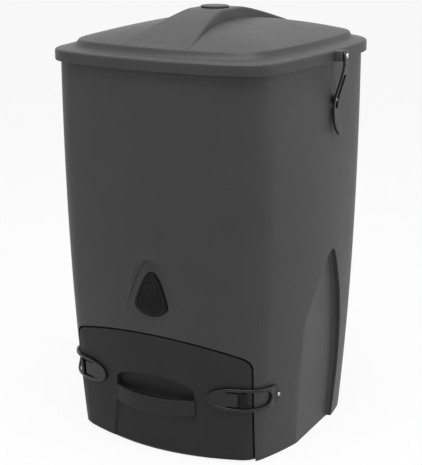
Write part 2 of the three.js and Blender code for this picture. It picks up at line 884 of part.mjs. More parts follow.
const latchPath = halfPlan(latchZ, -latchStandoff);
const latchNormals = latchPath.map((p, i) => {
  const before = latchPath[Math.max(0, i - 1)];
  const after = latchPath[Math.min(latchPath.length - 1, i + 1)];
  return new THREE.Vector2(after.y - before.y, before.x - after.x).normalize();
});
const latchLengths = [0];
latchPath.forEach((p, i) => {
  if (i > 0) latchLengths.push(latchLengths[i - 1] + p.distanceTo(latchPath[i - 1]));
});

// Place a point `along` the path, `up` from the latch's middle and `out` from its inner face
function latchPlace(side, along, up, out) {
  let i = 1;
  while (latchLengths[i] < along) i += 1;
  const share = (along - latchLengths[i - 1]) / (latchLengths[i] - latchLengths[i - 1]);
  const path = halfPlan(latchZ + up, -latchStandoff);
  const p = path[i - 1].lerp(path[i], share);
  p.addScaledVector(latchNormals[i - 1].clone().lerp(latchNormals[i], share).normalize(), out);
  return vec(side * p.x, p.y, latchZ + up);
}

// Length along the path to where its coordinate `key` reaches `value`, past the first `skipped` points
function alongAt(key, value, skipped) {
  const i = latchPath.findIndex((p, n) => n > skipped && p[key] >= value);
  const [before, after] = [latchPath[i - 1][key], latchPath[i][key]];
  return lerp(latchLengths[i - 1], latchLengths[i], (value - before) / (after - before));
}

const latchTip = alongAt('x', latchTipX, 0);
const latchWebEdge = alongAt('x', latchWebEdgeX, 0);
const latchScrew = alongAt('y', latchScrewY, frontSteps + frontCornerSteps);
const latchAxis = latchScrew - latchNeckLength;

function latchHalfHeight(along) {
  const share = (along - latchTip) / (latchAxis - latchTip);
  if (share < latchNoseShare) return (latchHeight / 2) * Math.sqrt(1 - (1 - share / latchNoseShare) ** 2);
  if (share < latchFlatShare) return latchHeight / 2;
  const turn = (1 - Math.cos(halfTurn * (share - latchFlatShare) / (1 - latchFlatShare))) / 2;
  return lerp(latchHeight / 2, latchNeckHeight / 2, turn);
}

// A rubber loop laid along place(along, up, out): solid but for a slot between slotFrom and slotTo
function rubberLoop({ place, from, slotFrom, slotTo, to, half, slotHalf, thickness }) {
  const breaks = [from, slotFrom, slotTo, to];
  const runs = breaks.slice(1).flatMap((end, i) => {
    const start = breaks[i];
    return samples((along) => along, start, end, Math.ceil((end - start) / stripPitch)).slice(1);
  });
  const columns = [from, ...runs].map((along) => {
    const within = along >= slotFrom && along <= slotTo;
    const inner = within ? Math.max(slotHalf(along), latchTipCut) : half(along) / 2;
    return [-half(along), -inner, inner, half(along)].map((up) => new THREE.Vector2(along, up));
  });
  const open = (i, j) => j === 1 && columns[i][0].x >= slotFrom && columns[i][0].x < slotTo;
  return solid(sheet(columns, open, place, thickness));
}

// A sheet over a grid of points, without its open cells
function sheet(columns, open, place, thickness) {
  const rows = columns[0].length;
  const count = columns.length * rows;
  const points = columns.flat();
  const positions = [0, thickness].flatMap((out) => points.flatMap((p) => place(p.x, p.y, out).toArray()));
  const faces = [];
  const edges = new Set();
  for (let i = 0; i + 1 < columns.length; i += 1) {
    for (let j = 0; j + 1 < rows; j += 1) {
      if (!open(i, j)) {
        const first = i * rows + j;
        const [a, b, c, d] = [first, first + rows, first + rows + 1, first + 1];
        const [farA, farB, farC, farD] = [a + count, b + count, c + count, d + count];
        faces.push([a, b, c], [a, c, d], [farA, farC, farB], [farA, farD, farC]);
        [[a, b], [b, c], [c, d], [d, a]].forEach((edge) => edges.add(edge.join()));
      }
    }
  }
  for (const edge of edges) {
    const [a, b] = edge.split(',').map(Number);
    if (!edges.has([b, a].join())) faces.push([b, a, a + count], [b, a + count, b + count]);
  }
  return closed(positions, faces);
}

// A wedge off the inner edge of a loop's bar, so that it slips over its keeper
function leadIn(place, edge, reach, halfWidth) {
  const wedge = [[-reach, -fit], [Math.sign(reach) * fit, -fit], [Math.sign(reach) * fit, Math.abs(reach)]];
  const rings = [-halfWidth, halfWidth].map((up) => wedge.map(([u, w]) => place(edge + u, up, w)));
  return solid(stack(rings, wedge.map(([u, w]) => new THREE.Vector2(u, w))));
}

// How far a slot's edge has closed in, as a share, over the last `reach` before its end
function slotRound(distance, reach) {
  return Math.sqrt(Math.max(0, 1 - Math.max(0, 1 - distance / reach) ** 2));
}

// The loop's two rails run on into the eye, so its window is open at the bend
function latchLoop(side) {
  const place = (along, up, out) => latchPlace(side, along, up, out);
  const body = rubberLoop({
    place,
    from: latchTip + latchTipCut,
    slotFrom: latchWebEdge,
    slotTo: latchAxis + fit,
    to: latchAxis,
    half: latchHalfHeight,
    slotHalf: (along) => latchHalfHeight(along) - latchRail,
    thickness: latchThickness,
  });
  return cut(body, leadIn(place, latchWebEdge, latchLeadIn, latchHeight / 2));
}

// A yoke: two short rails that meet round the window's end, and a round pad with the screw's hole
function latchEye(side) {
  const gapStart = latchAxis + fit;
  const railHalf = latchNeckHeight / 2;
  const arc = (middle, radius, half) => samples((turn) => new THREE.Vector2(
    middle + radius * Math.cos(turn),
    half * Math.sin(turn),
  ), quarterTurn, -quarterTurn, latchEyeSteps);
  const outside = arc(latchScrew - latchEyeSetback, latchEyeSetback + latchEyeEnd, latchEyeHalf);
  const inside = arc(gapStart + fit, latchEyeWindow, railHalf - latchRail).reverse();
  const outline = [new THREE.Vector2(gapStart, railHalf), ...outside, new THREE.Vector2(gapStart, -railHalf)];
  const window = [
    new THREE.Vector2(gapStart, latchRail - railHalf),
    ...inside,
    new THREE.Vector2(gapStart, railHalf - latchRail),
  ];
  const hole = circle(latchScrew, 0, screwShank + fit);
  const place = (p, out) => latchPlace(side, p.x, p.y, out - latchStandoff + fit);
  return solid(plate([...outline, ...window], [hole], place, latchThickness));
}

function circle(x, y, radius) {
  return samples((turn) => new THREE.Vector2(
    x + radius * Math.cos(turn * fullTurn),
    y + radius * Math.sin(turn * fullTurn),
  ), 0, 1, screwFacets).slice(0, -1);
}

function hatchKeeper(side) {
  const start = latchWebEdge + keeperGap;
  const end = start + keeperWidth;
  const row = (up) => samples((along) => new THREE.Vector2(along, up), start, end, keeperSteps);
  const outline = [...row(-keeperHeight / 2), ...row(keeperHeight / 2).reverse()];
  const foot = latchStandoff - fit;
  const body = solid(plate(outline, [], (p, out) => latchPlace(side, p.x, p.y, out - foot), keeperRise));
  const slope = [[-fit, keeperRise - keeperBevel], [-fit, keeperRise + fit], [keeperBevel, keeperRise + fit]];
  const ends = [-keeperHeight, keeperHeight];
  const rings = ends.map((up) => slope.map(([u, w]) => latchPlace(side, start + u, up, w - foot)));
  return cut(body, solid(stack(rings, slope.map(([u, w]) => new THREE.Vector2(u, w)))));
}

// Screws: the head rests on `seat` and the shank runs back along `outward`

function screw({ seat, outward, length, head = screwHead }) {
  const profile = [
    [0, -length],
    [screwShank, -length],
    [screwShank, 0],
    [head, 0],
    [head, screwHeadRise / 2],
    [head - screwHeadRise / 2, screwHeadRise],
    [0, screwHeadRise],
  ];
  return turned(profile, screwFacets, seat, outward);
}

function screwHole({ seat, outward, length }) {
  const start = seat.clone().addScaledVector(outward, -length - fit);
  return rod(screwShank + fit, length + fit + overrun, screwFacets, start, outward);
}

function latchScrewSeat(side) {
  const seat = latchPlace(side, latchScrew, 0, latchThickness - latchStandoff + latchScrewLift);
  const base = latchPlace(side, latchScrew, 0, 0);
  return { seat, outward: seat.clone().sub(base).normalize(), length: screwLength };
}

const rightward = vec(1, 0, 0);
const leftward = vec(-1, 0, 0);
const keeperTopX = strapPadX + fit + strapKeeperRise;
const strapKeeperScrew = {
  seat: vec(keeperTopX - screwHeadRise, strapY, strapKeeperZ),
  outward: rightward,
  length: strapKeeperRise + screwLength - screwHeadRise,
  head: strapKeeperHead,
};
const strapEyeScrew = {
  seat: vec(strapBossX + fit + strapThickness + fit, strapY, strapEyeZ),
  outward: rightward,
  length: screwLength,
};
const hingeScrewPlace = (y, z) => ({
  seat: vec(hingeFaceX - hingeLeaf - fit, y, z),
  outward: leftward,
  length: hingeScrewLength,
  head: hingeScrewHead,
});
const hingeScrewRow = (z) => [-1, 1].map((end) => hingeScrewPlace(end * hingeScrewY, z));
const hingeTubScrews = hingeScrewRow((hingePadZ + hingePadTopZ) / 2);
const hingeLidScrews = hingeScrewRow(rimZ + skirtHeight / 2);

function tubScrewHoles() {
  const latchSeats = Object.values(sides).map((side) => latchScrewSeat(side));
  return [...latchSeats, strapKeeperScrew, ...hingeTubScrews].map(screwHole);
}

// Lid

const rimTopZ = rimZ + skirtHeight;
const plateauZ = rimTopZ + stepHeight;
const spineTopZ = plateauZ + spineRise;
const lidLinerZ = tubTopZ + fit + sealThickness + fit;

// The lid's outer form, or the same form `drop` further in
function lidForm(drop) {
  const skirt = [
    [rimZ - (drop > 0 ? overrun : 0), overhang],
    [rimTopZ - lidRound, overhang],
    [rimTopZ - lidBevel, overhang - lidBevel],
    [rimTopZ, overhang - lidRound],
  ].map(([z, out]) => [z, -out, frontCornerCut]);
  const step = [[0, 0], ...stepShares, [1, 1]].map(([run, height]) => [
    lerp(rimTopZ + shelfFall, plateauZ, height),
    lerp(shelfInset, plateauInset, run),
    lerp(shelfCornerCut, plateauCornerCut, run),
  ]);
  const walls = [...skirt, ...step].map(([z, inset, cornerCut]) => (
    closedPlan(rimZ, inset + drop, cornerCut).map((p) => vec(p.x, p.y, z - drop))
  ));
  const crown = samples((share) => {
    const z = plateauZ + lobeRise * (1 - share * share) - drop;
    const ring = closedPlan(rimZ, plateauInset + drop, plateauCornerCut);
    return ring.map((p) => vec(p.x * share, p.y * share, z));
  }, 1, lobeTipShare, lobeSteps).slice(1);
  const rings = [...walls, ...crown];
  return join(solid(stack(rings, rings[0].map((p) => new THREE.Vector2(p.x, p.y)))), spine(drop));
}

// The ridge along the middle: wide at both ends, narrow and flat on top
function spine(drop) {
  const ring = (y) => {
    const run = Math.max(0, (Math.abs(y) - spineFlat) / (spineReach - spineFlat));
    const half = lerp(spineTopHalf, spineFootHalf, run ** spineWidthPower) - drop;
    const top = plateauZ + spineRise * (1 - run ** spineHeightPower) - drop;
    const foot = rimTopZ - drop;
    const right = [[half + spineWallRun, foot], [half, top - spineEdge], [half - spineEdge, top]];
    const left = right.map(([x, z]) => [-x, z]).reverse();
    return [...right, ...left].map(([x, z]) => vec(x, y, z));
  };
  const reach = spineReach - drop;
  const rings = samples((share) => ring(share), -reach, reach, spineSteps);
  return solid(stack(rings, rings[0].map((p) => new THREE.Vector2(p.x, p.z))));
}

const exhaustHole = rod(exhaustRadius + fit, spineTopZ, ventFacets, vec(0, 0, lidLinerZ - overrun), alongZ);

function lidOuterShell() {
  const strapBoss = box(
    vec(rimFrontHalf, strapY - strapBossHalf, rimZ + fit),
    vec(strapBossX, strapY + strapBossHalf, rimTopZ - lidBevel),
  );
  const hingeBoss = box(
    vec(hingePadFaceX, -hingeBossHalf, hingeZ + hingePadDrop),
    vec(-rimFrontHalf, hingeBossHalf, rimTopZ - lidBevel),
  );
  const holes = [strapEyeScrew, ...hingeLidScrews].map(screwHole);
  return cut(join(lidForm(0), strapBoss, hingeBoss), lidForm(lidWall), exhaustHole, ...holes);
}

function lidInsulation() {
  const reach = rimHalfDepth * 2;
  const below = box(vec(-reach, -reach, 0), vec(reach, reach, lidLinerZ + lidLinerWall + fit));
  return cut(lidForm(lidWall + fit), below, exhaustHole);
}

function flatRing(outer, inner, low, high) {
  const disc = (inset, from, to) => loft([[from, inset, rimZ], [to, inset, rimZ]]);
  return cut(disc(outer, low, high), disc(inner, low - overrun, high + overrun));
}

function lidInnerLiner() {
  const deck = loft([lidLinerZ, lidLinerZ + lidLinerWall].map((z) => [z, lidRound - overhang + fit, rimZ]));
  const lipOut = linerIn + lidLipGap;
  const lip = flatRing(lipOut, lipOut + lidLinerWall, lidLinerZ - lidLip, lidLinerZ + fit);
  return cut(join(deck, lip), exhaustHole);
}

function lidGasket() {
  return flatRing(sealInset, sealInset + gasketWidth, tubTopZ + fit, tubTopZ + fit + sealThickness);
}

function exhaustVentSleeve() {
  const bore = exhaustRadius - exhaustWall;
  return tube(exhaustRadius, bore, spineTopZ - lidLinerZ, ventFacets, vec(0, 0, lidLinerZ), alongZ);
}

function exhaustVentCap() {
  const stem = exhaustRadius - exhaustWall - 2 * fit;
  const profile = [
    [0, 0],
    [stem - exhaustWall, 0],
    [stem - exhaustWall, -capStem],
    [stem, -capStem],
    [stem, 0],
    [capRadius, 0],
    [capRadius, capRise - capGroove],
    [capRadius - capGroove, capRise],
    [exhaustRadius + capGroove, capRise],
    [exhaustRadius + capGroove, capRise - capGroove],
    [exhaustRadius, capRise - capGroove],
    [exhaustRadius, capRise],
    [0, capRise],
  ];
  return turned(profile, ventFacets, vec(0, 0, spineTopZ + fit), alongZ);
}

// A prism along X from an outline of (y, z) points
function sidePrism(outline, fromX, toX) {
  const rings = [fromX, toX].map((x) => outline.map((p) => vec(x, p.x, p.y)));
  return solid(stack(rings, outline));
}

// Lid strap: an S from the boss on the rim down to the keeper, with a flared tab

const strapLowX = strapPadX + strapStandoff;
const strapEyeX = strapBossX + fit;

function strapX(z) {
  const share = THREE.MathUtils.clamp((z - strapSlotFootZ) / (strapNeckZ - strapSlotFootZ), 0, 1);
  const below = Math.max(0, (strapSlotFootZ - z) / (strapSlotFootZ - strapEndZ));
  return lerp(strapLowX, strapEyeX, share * share * (3 - 2 * share)) + strapFlare * below * below;
}

function strapPlace(z, y, out) {
  const slope = (strapX(z + fit) - strapX(z - fit)) / (2 * fit);
  const outward = vec(1, 0, -slope).normalize();
  return vec(strapX(z), strapY + y, z).addScaledVector(outward, out);
}

function strapHalfWidth(z) {
  const neck = THREE.MathUtils.clamp((strapNeckZ - z) / (strapNeckZ - strapSlotTopZ), 0, 1);
  const nose = Math.max(0, 1 - (z - strapEndZ + latchTipCut) / strapNoseLength);
  return lerp(strapNeckHalf, strapWidth / 2, neck) * Math.sqrt(1 - nose * nose);
}

function lidStrap() {
  const slotHalf = strapWidth / 2 - strapRail;
  const body = rubberLoop({
    place: strapPlace,
    from: strapEndZ,
    slotFrom: strapSlotFootZ,
    slotTo: strapSlotTopZ,
    to: strapNeckZ,
    half: strapHalfWidth,
    slotHalf: (z) => slotHalf * slotRound(strapSlotTopZ - z, slotHalf),
    thickness: strapThickness,
  });
  return cut(body, leadIn(strapPlace, strapSlotFootZ, strapLeadIn, slotHalf));
}

function lidStrapEye() {
  const foot = strapNeckZ + fit;
  const angle = Math.asin(strapNeckHalf / strapEyeRadius);
  const round = samples((turn) => new THREE.Vector2(
    strapY + strapEyeRadius * Math.sin(turn),
    strapEyeZ - strapEyeRadius * Math.cos(turn),
  ), angle, fullTurn - angle, screwFacets);
  const outline = [
    new THREE.Vector2(strapY - strapNeckHalf, foot),
    new THREE.Vector2(strapY + strapNeckHalf, foot),
    ...round,
  ];
  const body = sidePrism(outline, strapEyeX, strapEyeX + strapThickness);
  return cut(body, screwHole(strapEyeScrew));
}

function lidStrapKeeper() {
  const profile = [
    [screwShank + fit, 0],
    [strapPadRadius - fit, 0],
    [strapPadRadius - fit, strapKeeperFlange],
    [strapKeeperRadius, strapKeeperFlange],
    [strapKeeperRadius, strapKeeperRise - strapKeeperBevel],
    [strapKeeperRadius - strapKeeperBevel, strapKeeperRise],
    [strapKeeperHead + fit, strapKeeperRise],
    [strapKeeperHead + fit, strapKeeperRise - screwHeadRise - fit],
    [screwShank + fit, strapKeeperRise - screwHeadRise - fit],
    [screwShank + fit, 0],
  ];
  return turned(profile, screwFacets, vec(strapPadX + fit, strapY, strapKeeperZ), rightward);
}

// Lid hinge: two leaves with interleaved knuckles and a pin

function hingeLeafPiece(first, foot, top, armFrom, armTo) {
  const plateX = hingeFaceX - hingeLeaf;
  const pitch = (2 * hingeHalf) / hingeKnuckles;
  const pieces = [box(vec(plateX, -hingeHalf, foot), vec(hingeFaceX, hingeHalf, top))];
  for (let k = first; k < hingeKnuckles; k += 2) {
    const from = -hingeHalf + k * pitch + hingeKnuckleGap / 2;
    const to = from + pitch - hingeKnuckleGap;
    const barrel = rod(hingeBarrel, to - from, screwFacets, vec(hingeX, from, hingeZ), alongY);
    pieces.push(barrel, box(vec(plateX, from, armFrom), vec(hingeFaceX, to, armTo)));
  }
  const boreStart = vec(hingeX, -hingeHalf - fit, hingeZ);
  const bore = rod(hingePin + fit, 2 * hingeHalf + overrun, screwFacets, boreStart, alongY);
  return cut(join(...pieces), bore);
}

function hingeTubLeaf() {
  const top = hingePadTopZ;
  const foot = hingePadZ + hingeLeaf;
  return cut(hingeLeafPiece(0, foot, top, top - hingeLeaf, hingeZ), ...hingeTubScrews.map(screwHole));
}

function hingeLidLeaf() {
  const foot = hingeZ + hingePadDrop;
  const top = rimTopZ - hingeLeaf;
  return cut(hingeLeafPiece(1, foot, top, hingeZ, foot + hingeLeaf), ...hingeLidScrews.map(screwHole));
}

function hingePinRod() {
  const reach = hingeHalf + hingePin;
  const profile = [
    [0, -reach - hingePin / 2],
    [hingePin + hingePin / 2, -reach - hingePin / 2],
    [hingePin + hingePin / 2, -reach],
    [hingePin, -reach],
    [hingePin, reach],
    [0, reach],
  ];
  return turned(profile, screwFacets, vec(hingeX, 0, hingeZ), alongY);
}

// The bin

addPart('tub_outer_shell', tubOuterShell(), 'tub');
addPart('tub_insulation', tubInsulation(), 'foam');
addPart('tub_inner_liner', tubInnerLiner(), 'liner');
addPart('base_tray', baseTray(), 'liner');
addPart('compost_grate', compostGrate(), 'liner');
addPart('hatch_frame', hatchFrame(), 'liner');
addPart('intake_vent_cover', intakeVentCover(), 'black');
addPart('intake_vent_sleeve', intakeVentSleeve(), 'black');
addPart('drain_outlet', drainOutlet(), 'black');
addPart('drain_cap', drainCap(), 'black');

addPart('hatch_outer_shell', hatchOuterShell(), 'hatch');
addPart('hatch_insulation', hatchInsulation(), 'foam');
addPart('hatch_inner_liner', hatchInnerLiner(), 'liner');
addPart('hatch_gasket', hatchGasket(), 'rubber');
addPart('hatch_handle', hatchHandle(), 'hatch');

for (const [name, side] of Object.entries(sides)) {
  addPart(`hatch_keeper_${name}`, hatchKeeper(side), 'black');
  addPart(`hatch_latch_loop_${name}`, latchLoop(side), 'rubber');
  addPart(`hatch_latch_eye_${name}`, latchEye(side), 'rubber');
  addPart(`hatch_latch_screw_${name}`, screw(latchScrewSeat(side)), 'steel');
}

addPart('lid_outer_shell', lidOuterShell(), 'tub');
addPart('lid_insulation', lidInsulation(), 'foam');
addPart('lid_inner_liner', lidInnerLiner(), 'liner');
addPart('lid_gasket', lidGasket(), 'rubber');
addPart('exhaust_vent_sleeve', exhaustVentSleeve(), 'black');
addPart('exhaust_vent_cap', exhaustVentCap(), 'tub');

addPart('lid_strap', lidStrap(), 'rubber');
addPart('lid_strap_eye', lidStrapEye(), 'rubber');
addPart('lid_strap_eye_screw', screw(strapEyeScrew), 'steel');
addPart('lid_strap_keeper', lidStrapKeeper(), 'black');
addPart('lid_strap_keeper_screw', screw(strapKeeperScrew), 'steel');

addPart('hinge_tub_leaf', hingeTubLeaf(), 'steel');
addPart('hinge_lid_leaf', hingeLidLeaf(), 'steel');
addPart('hinge_pin', hingePinRod(), 'steel');
hingeTubScrews.forEach((place, i) => addPart(`hinge_tub_screw_${i + 1}`, screw(place), 'steel'));
hingeLidScrews.forEach((place, i) => addPart(`hinge_lid_screw_${i + 1}`, screw(place), 'steel'));

export default group;
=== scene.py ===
"""Looks of an insulated compost bin: moulded shells, rubber latches and steel screws. Metres, +Z up."""
import json
from bisect import bisect_left
from functools import lru_cache
from math import acos, asin, cos, pi, radians, sin, sqrt, tau

import bmesh
import bpy
from mathutils import Matrix, Vector
from mathutils.geometry import tessellate_polygon


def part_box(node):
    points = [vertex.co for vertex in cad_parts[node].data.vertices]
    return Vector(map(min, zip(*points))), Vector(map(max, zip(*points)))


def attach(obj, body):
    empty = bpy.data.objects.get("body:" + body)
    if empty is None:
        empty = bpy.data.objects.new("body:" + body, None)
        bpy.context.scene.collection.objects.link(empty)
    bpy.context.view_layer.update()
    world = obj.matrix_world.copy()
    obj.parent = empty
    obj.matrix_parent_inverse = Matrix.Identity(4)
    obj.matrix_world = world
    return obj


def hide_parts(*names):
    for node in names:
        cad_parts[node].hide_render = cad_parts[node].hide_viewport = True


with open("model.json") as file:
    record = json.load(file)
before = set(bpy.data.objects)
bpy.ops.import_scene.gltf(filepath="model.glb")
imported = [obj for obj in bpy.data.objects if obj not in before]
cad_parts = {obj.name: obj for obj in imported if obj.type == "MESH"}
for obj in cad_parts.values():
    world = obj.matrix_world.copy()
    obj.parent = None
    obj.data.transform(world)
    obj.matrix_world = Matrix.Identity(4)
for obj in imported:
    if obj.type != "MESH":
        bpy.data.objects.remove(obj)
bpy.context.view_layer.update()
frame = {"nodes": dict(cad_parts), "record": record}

# The gap that parts touching pieces, and a length that is clear of any surface
FIT, FAR = 0.0003, 0.03

# Plan and taper of the tub, as the CAD frame has them
RIM_Z = 0.981
TUB_TOP = 0.996
RIM_FRONT = 0.287
RIM_BACK = 0.310
RIM_DEPTH = 0.296
END_BOW, END_BOW_GAIN = 0.0453, 0.0094
SIDE_BULGE, SIDE_BULGE_GAIN = 0.0201, 0.0327
SIDE_TAPER, SIDE_POWER = 0.0367, 2.47
END_TAPER, END_POWER = 0.0285, 1.51
CORNER_FLARE = 0.001
FRONT_CUT, FRONT_CUT_LOSS, BACK_CUT, LEAST_CUT = 0.0545, 0.0223, 0.114, 0.005
SHELL_WALL, TUB_EDGE = 0.004, 0.0012

# Front hatch
HATCH_CROWN = 0.323
HATCH_HALVES, HATCH_HEAD = (0.2535, 0.2585), (0.283, HATCH_CROWN, 0.026)
HATCH_GAP, HATCH_FOOT_Z, HATCH_SKIN = 0.0045, 0.003, 0.008
FRAME_DEPTH = 0.2299

# Rounding of each recess, at its lip and at the foot of its wall
VENT_ROUND, SCOOP_ROUND, CHANNEL_ROUND = (0.010, 0.006), (0.003, 0.008), (0.006, 0.003)
BOWL_ROUND, POCKET_ROUND, HATCH_LIP = (0.001, 0.003), (0.0025, 0.002), 0.0014
LIP_TILT, LIP_STEPS, FILLET_STEPS = radians(66), 5, 6
RECESS_GRID, HATCH_GRID, COVER_GRID = 16, 24, 12

# Finger pocket, channel and grip bar
POCKET_HALF, POCKET_FOOT, POCKET_SHOULDER, POCKET_CROWN = 0.113, 0.112, 0.190, 0.211
POCKET_CORNER, POCKET_EDGE, POCKET_BACK, POCKET_WALL = 0.012, 0.013, 0.018, 0.003
CHANNEL_HALVES_AND_TOP, CHANNEL_DEPTH = (0.115, 0.136, 0.118), 0.005
GRIP_HALF, GRIP_FOOT, GRIP_TOP, GRIP_WALL, GRIP_BULGE = 0.117, 0.118, 0.161, 0.006, 0.017
GRIP_LIP, GRIP_REAR_LIP, GRIP_REAR_DROP, GRIP_GROOVE, GRIP_EDGE = 0.0026, 0.0018, 0.0006, 0.006, 0.0008
GRIP_CORNERS = (0.001, 0.0006, 0.002)
RIB_THICK, RIB_FOOT, RIB_TOP, RIB_LAP = 0.0024, 0.005, 0.0012, 0.002
END_FOOT, END_NEAR, END_FAR = 0.0004, 0.004, 0.002

# Vent recess and cover
ARCH_FOOT_HALF, ARCH_TOP_HALF, ARCH_FOOT, ARCH_SHOULDER, ARCH_CROWN = 0.096, 0.038, 0.331, 0.489, 0.514
ARCH_CORNER, ARCH_TOP_DEPTH, ARCH_FOOT_DEPTH = 0.018, 0.013, 0.001
VENT_Z, VENT_HALF, VENT_FOOT, VENT_TOP, VENT_BORE = 0.425, 0.047, 0.371, 0.481, 0.0223
VENT_DRAW, VENT_GROOVE, GROOVE_OUT, GROOVE_IN = 0.0025, 0.0022, 0.004, -0.0034
RING_OUTER, RING_INNER, DOME_Z, DOME_WIDE, DOME_TALL = 0.003, 0.0095, 0.437, 0.021, 0.020
LOUVRES, LOUVRE_FOOT, LOUVRE_PITCH, LOUVRE_HALF, LOUVRE_LOSS = 4, 0.016, 0.0088, 0.0285, 0.0005
LOUVRE_BOW, LOUVRE_WIDE = 0.012, 0.0036
VENT_SHARES = [(0, 0), (0.55, 0.05), (0.97, 0.2), (0.86, 0.45), (0.52, 0.8), (0.2, 0.98), (0, 1)]

# Side scoops
SCOOP_TOP, SCOOP_TOP_Y, SCOOP_FRONT, SCOOP_BACK = 0.494, 0.031, -0.149, 0.106
SCOOP_FOOT_DEPTH, SCOOP_HEAD_DEPTH, SCOOP_MIDDLE, SCOOP_TURN = 0.013, 0.0085, -0.022, 0.062
SCOOP_FRONT_SHARES = [(0, 0), (0, 0.22), (0.01, 0.43), (0.17, 0.65), (0.5, 0.83), (0.82, 0.965), (1, 1)]
SCOOP_BACK_SHARES = [(0.32, 0.94), (0.84, 0.68), (1, 0.37), (0.72, 0)]

# Lid
OVERHANG, SKIRT, LID_WALL, LID_ROUND = 0.013, 0.028, 0.004, 0.006
SHELF_INSET, SHELF_FALL, PLATEAU_INSET, STEP = 0.014, 0.003, 0.037, 0.022
SHELF_CUT, PLATEAU_CUT = 0.070, 0.110
STEP_SHARES = [(0, 0), (0.3, 0.1), (0.52, 0.45), (0.72, 0.87), (1, 1)]
LOBE_RISE, SPINE_RISE, SPINE_FLAT, SPINE_REACH = 0.039, 0.065, 0.048, 0.300
SPINE_TOP_HALF, SPINE_FOOT_HALF, SPINE_RUN, SPINE_EDGE = 0.052, 0.100, 0.009, 0.007
SPINE_WIDTH_POWER, SPINE_HEIGHT_POWER, SPINE_STEPS = 1.5, 1.3, 64
RIM_TOP = RIM_Z + SKIRT
PLATEAU = RIM_TOP + STEP
LID_EDGE, SKIRT_START, LOBE_STEPS, LOBE_END = 0.001, 0.003, 24, 0.02
BOSS_DROP, BOSS_EDGE = 0.002, 0.002
CAP_RADIUS, CAP_RISE, CAP_FOOT, CAP_EDGE, SLEEVE = 0.036, 0.005, 0.0006, 0.002, 0.0263
STEM_GAP, STEM_WALL, STEM_LENGTH = 0.0028, 0.0025, 0.014
CAP_GROOVE = (0.0012, 0.0006, 0.0015)

# Latches, along the wall at their height
LATCH_Z, LATCH_TIP_X, LATCH_WEB_X, LATCH_SCREW_Y, LATCH_STANDOFF = 0.177, 0.147, 0.224, -0.210, 0.0026
LATCH_HALF, LATCH_RAIL, LATCH_THICK, LATCH_ROUND = 0.031, 0.009, 0.006, 0.0029
LATCH_NECK, LATCH_NECK_HALF, EYE_SETBACK, EYE_END, EYE_WINDOW = 0.030, 0.029, 0.024, 0.011, 0.006
LATCH_NOSE_SHARE, LATCH_FLAT_SHARE, LATCH_SCREW_LIFT = 0.42, 0.62, 0.0008
TONGUE_HALF, TONGUE_ROOT, TONGUE_CORNER, TONGUE_START = 0.0182, 0.050, 0.003, 0.0005
LEAF_LAP, EYE_EASE, EYE_CURVE, EYE_COLLAR, TURN_STEPS = 0.001, 0.018, 0.020, 0.0085, 18
KEEPER_GAP, KEEPER_WIDTH, KEEPER_HALF, KEEPER_RISE, KEEPER_CORNER = 0.0065, 0.013, 0.020, 0.009, 0.003

# Lid strap and its posts
STRAP_Y, STRAP_THICK, STRAP_HALF, STRAP_RAIL, STRAP_ROUND = 0.016, 0.006, 0.014, 0.007, 0.0024
STRAP_NECK_Z, STRAP_NECK_HALF, STRAP_SLOT_TOP, STRAP_SLOT_FOOT, STRAP_END = 0.972, 0.009, 0.950, 0.864, 0.797
STRAP_NOSE, STRAP_FLARE, STRAP_STANDOFF, STRAP_EYE = 0.030, 0.012, 0.004, 0.013
STRAP_PAD, STRAP_BOSS_HALF, PAD_EDGE = 0.013, 0.016, 0.001
DRAIN_PAD, DRAIN_PAD_RISE, DRAIN_BORE = 0.022, 0.003, 0.0133
HINGE_PAD_HALF, HINGE_PAD_SLOPE, HINGE_LEAF = 0.068, 0.030, 0.003
POST_RADIUS, POST_EDGE, POST_SOFT, FLANGE = 0.006, 0.001, 0.0007, 0.002
FLANGE_EDGE, FLANGE_STEP = 0.0006, 0.0005

# Each plate's back, front and rounding, out from the face that it lies on
LATCH_PLATE, STRAP_PLATE = (0, LATCH_THICK, LATCH_ROUND), (0, STRAP_THICK, STRAP_ROUND)
LEAF_PLATE, COLLAR_PLATE = (0.0008, 0.0036, 0.0012), (0.0008, LATCH_THICK + FIT, 0.0008)
KEEPER_PLATE = (FIT - LATCH_STANDOFF, FIT - LATCH_STANDOFF + KEEPER_RISE, 0.0022)
COVER_PLATE, RING_PLATE = (-0.002, 0.0026, 0.0014), (0.001, 0.0048, 0.0018)
LOUVRE_PLATE, DOME_PLATE = (0.001, 0.0049, 0.0010), (0.001, 0.0042, 0.0016)
PLATE_PITCH, PLATE_BACK, LEAST_MITRE, CLIP_MERGE, TINY = 0.004, 0.0006, 0.4, 1e-7, 1e-6

# Screws: the dome starts at a share of the head's rise, the cross is a share of its radius
SCREW_HEAD, SCREW_RISE, SCREW_SHANK, SCREW_LENGTH, SCREW_EDGE = 0.0065, 0.0034, 0.0025, 0.014, 0.0004
LATCH_HEAD, POST_HEAD, HINGE_HEAD, HINGE_LENGTH = 0.0048, 0.004, 0.0045, 0.009
DOME_START, CROSS_REACH, CROSS_HALF, CROSS_FLOOR = 0.35, 0.55, 0.13, 0.45


def mix(a, b, share):
    return a + (b - a) * share


def clamp(share):
    return min(1.0, max(0.0, share))


def ease(share):
    share = clamp(share)
    return share * share * (3 - 2 * share)


def run(count, start=0.0, end=1.0):
    return [mix(start, end, i / count) for i in range(count + 1)]


def bend(a, b, c, count):
    """A quadratic curve from a to c, pulled towards b."""
    return [a * (1 - t) ** 2 + b * 2 * t * (1 - t) + c * t * t for t in run(count)]


def quarter(radius, count, start=0.0, end=pi / 2):
    """How far a rounded edge draws in and down, along its curve."""
    return [(radius * (1 - cos(t)), radius * (1 - sin(t))) for t in run(count, start, end)]


def mirrored_across(right):
    """A closed outline from its right half."""
    return right + [Vector((-p.x, p.y)) for p in reversed(right[1:-1])]


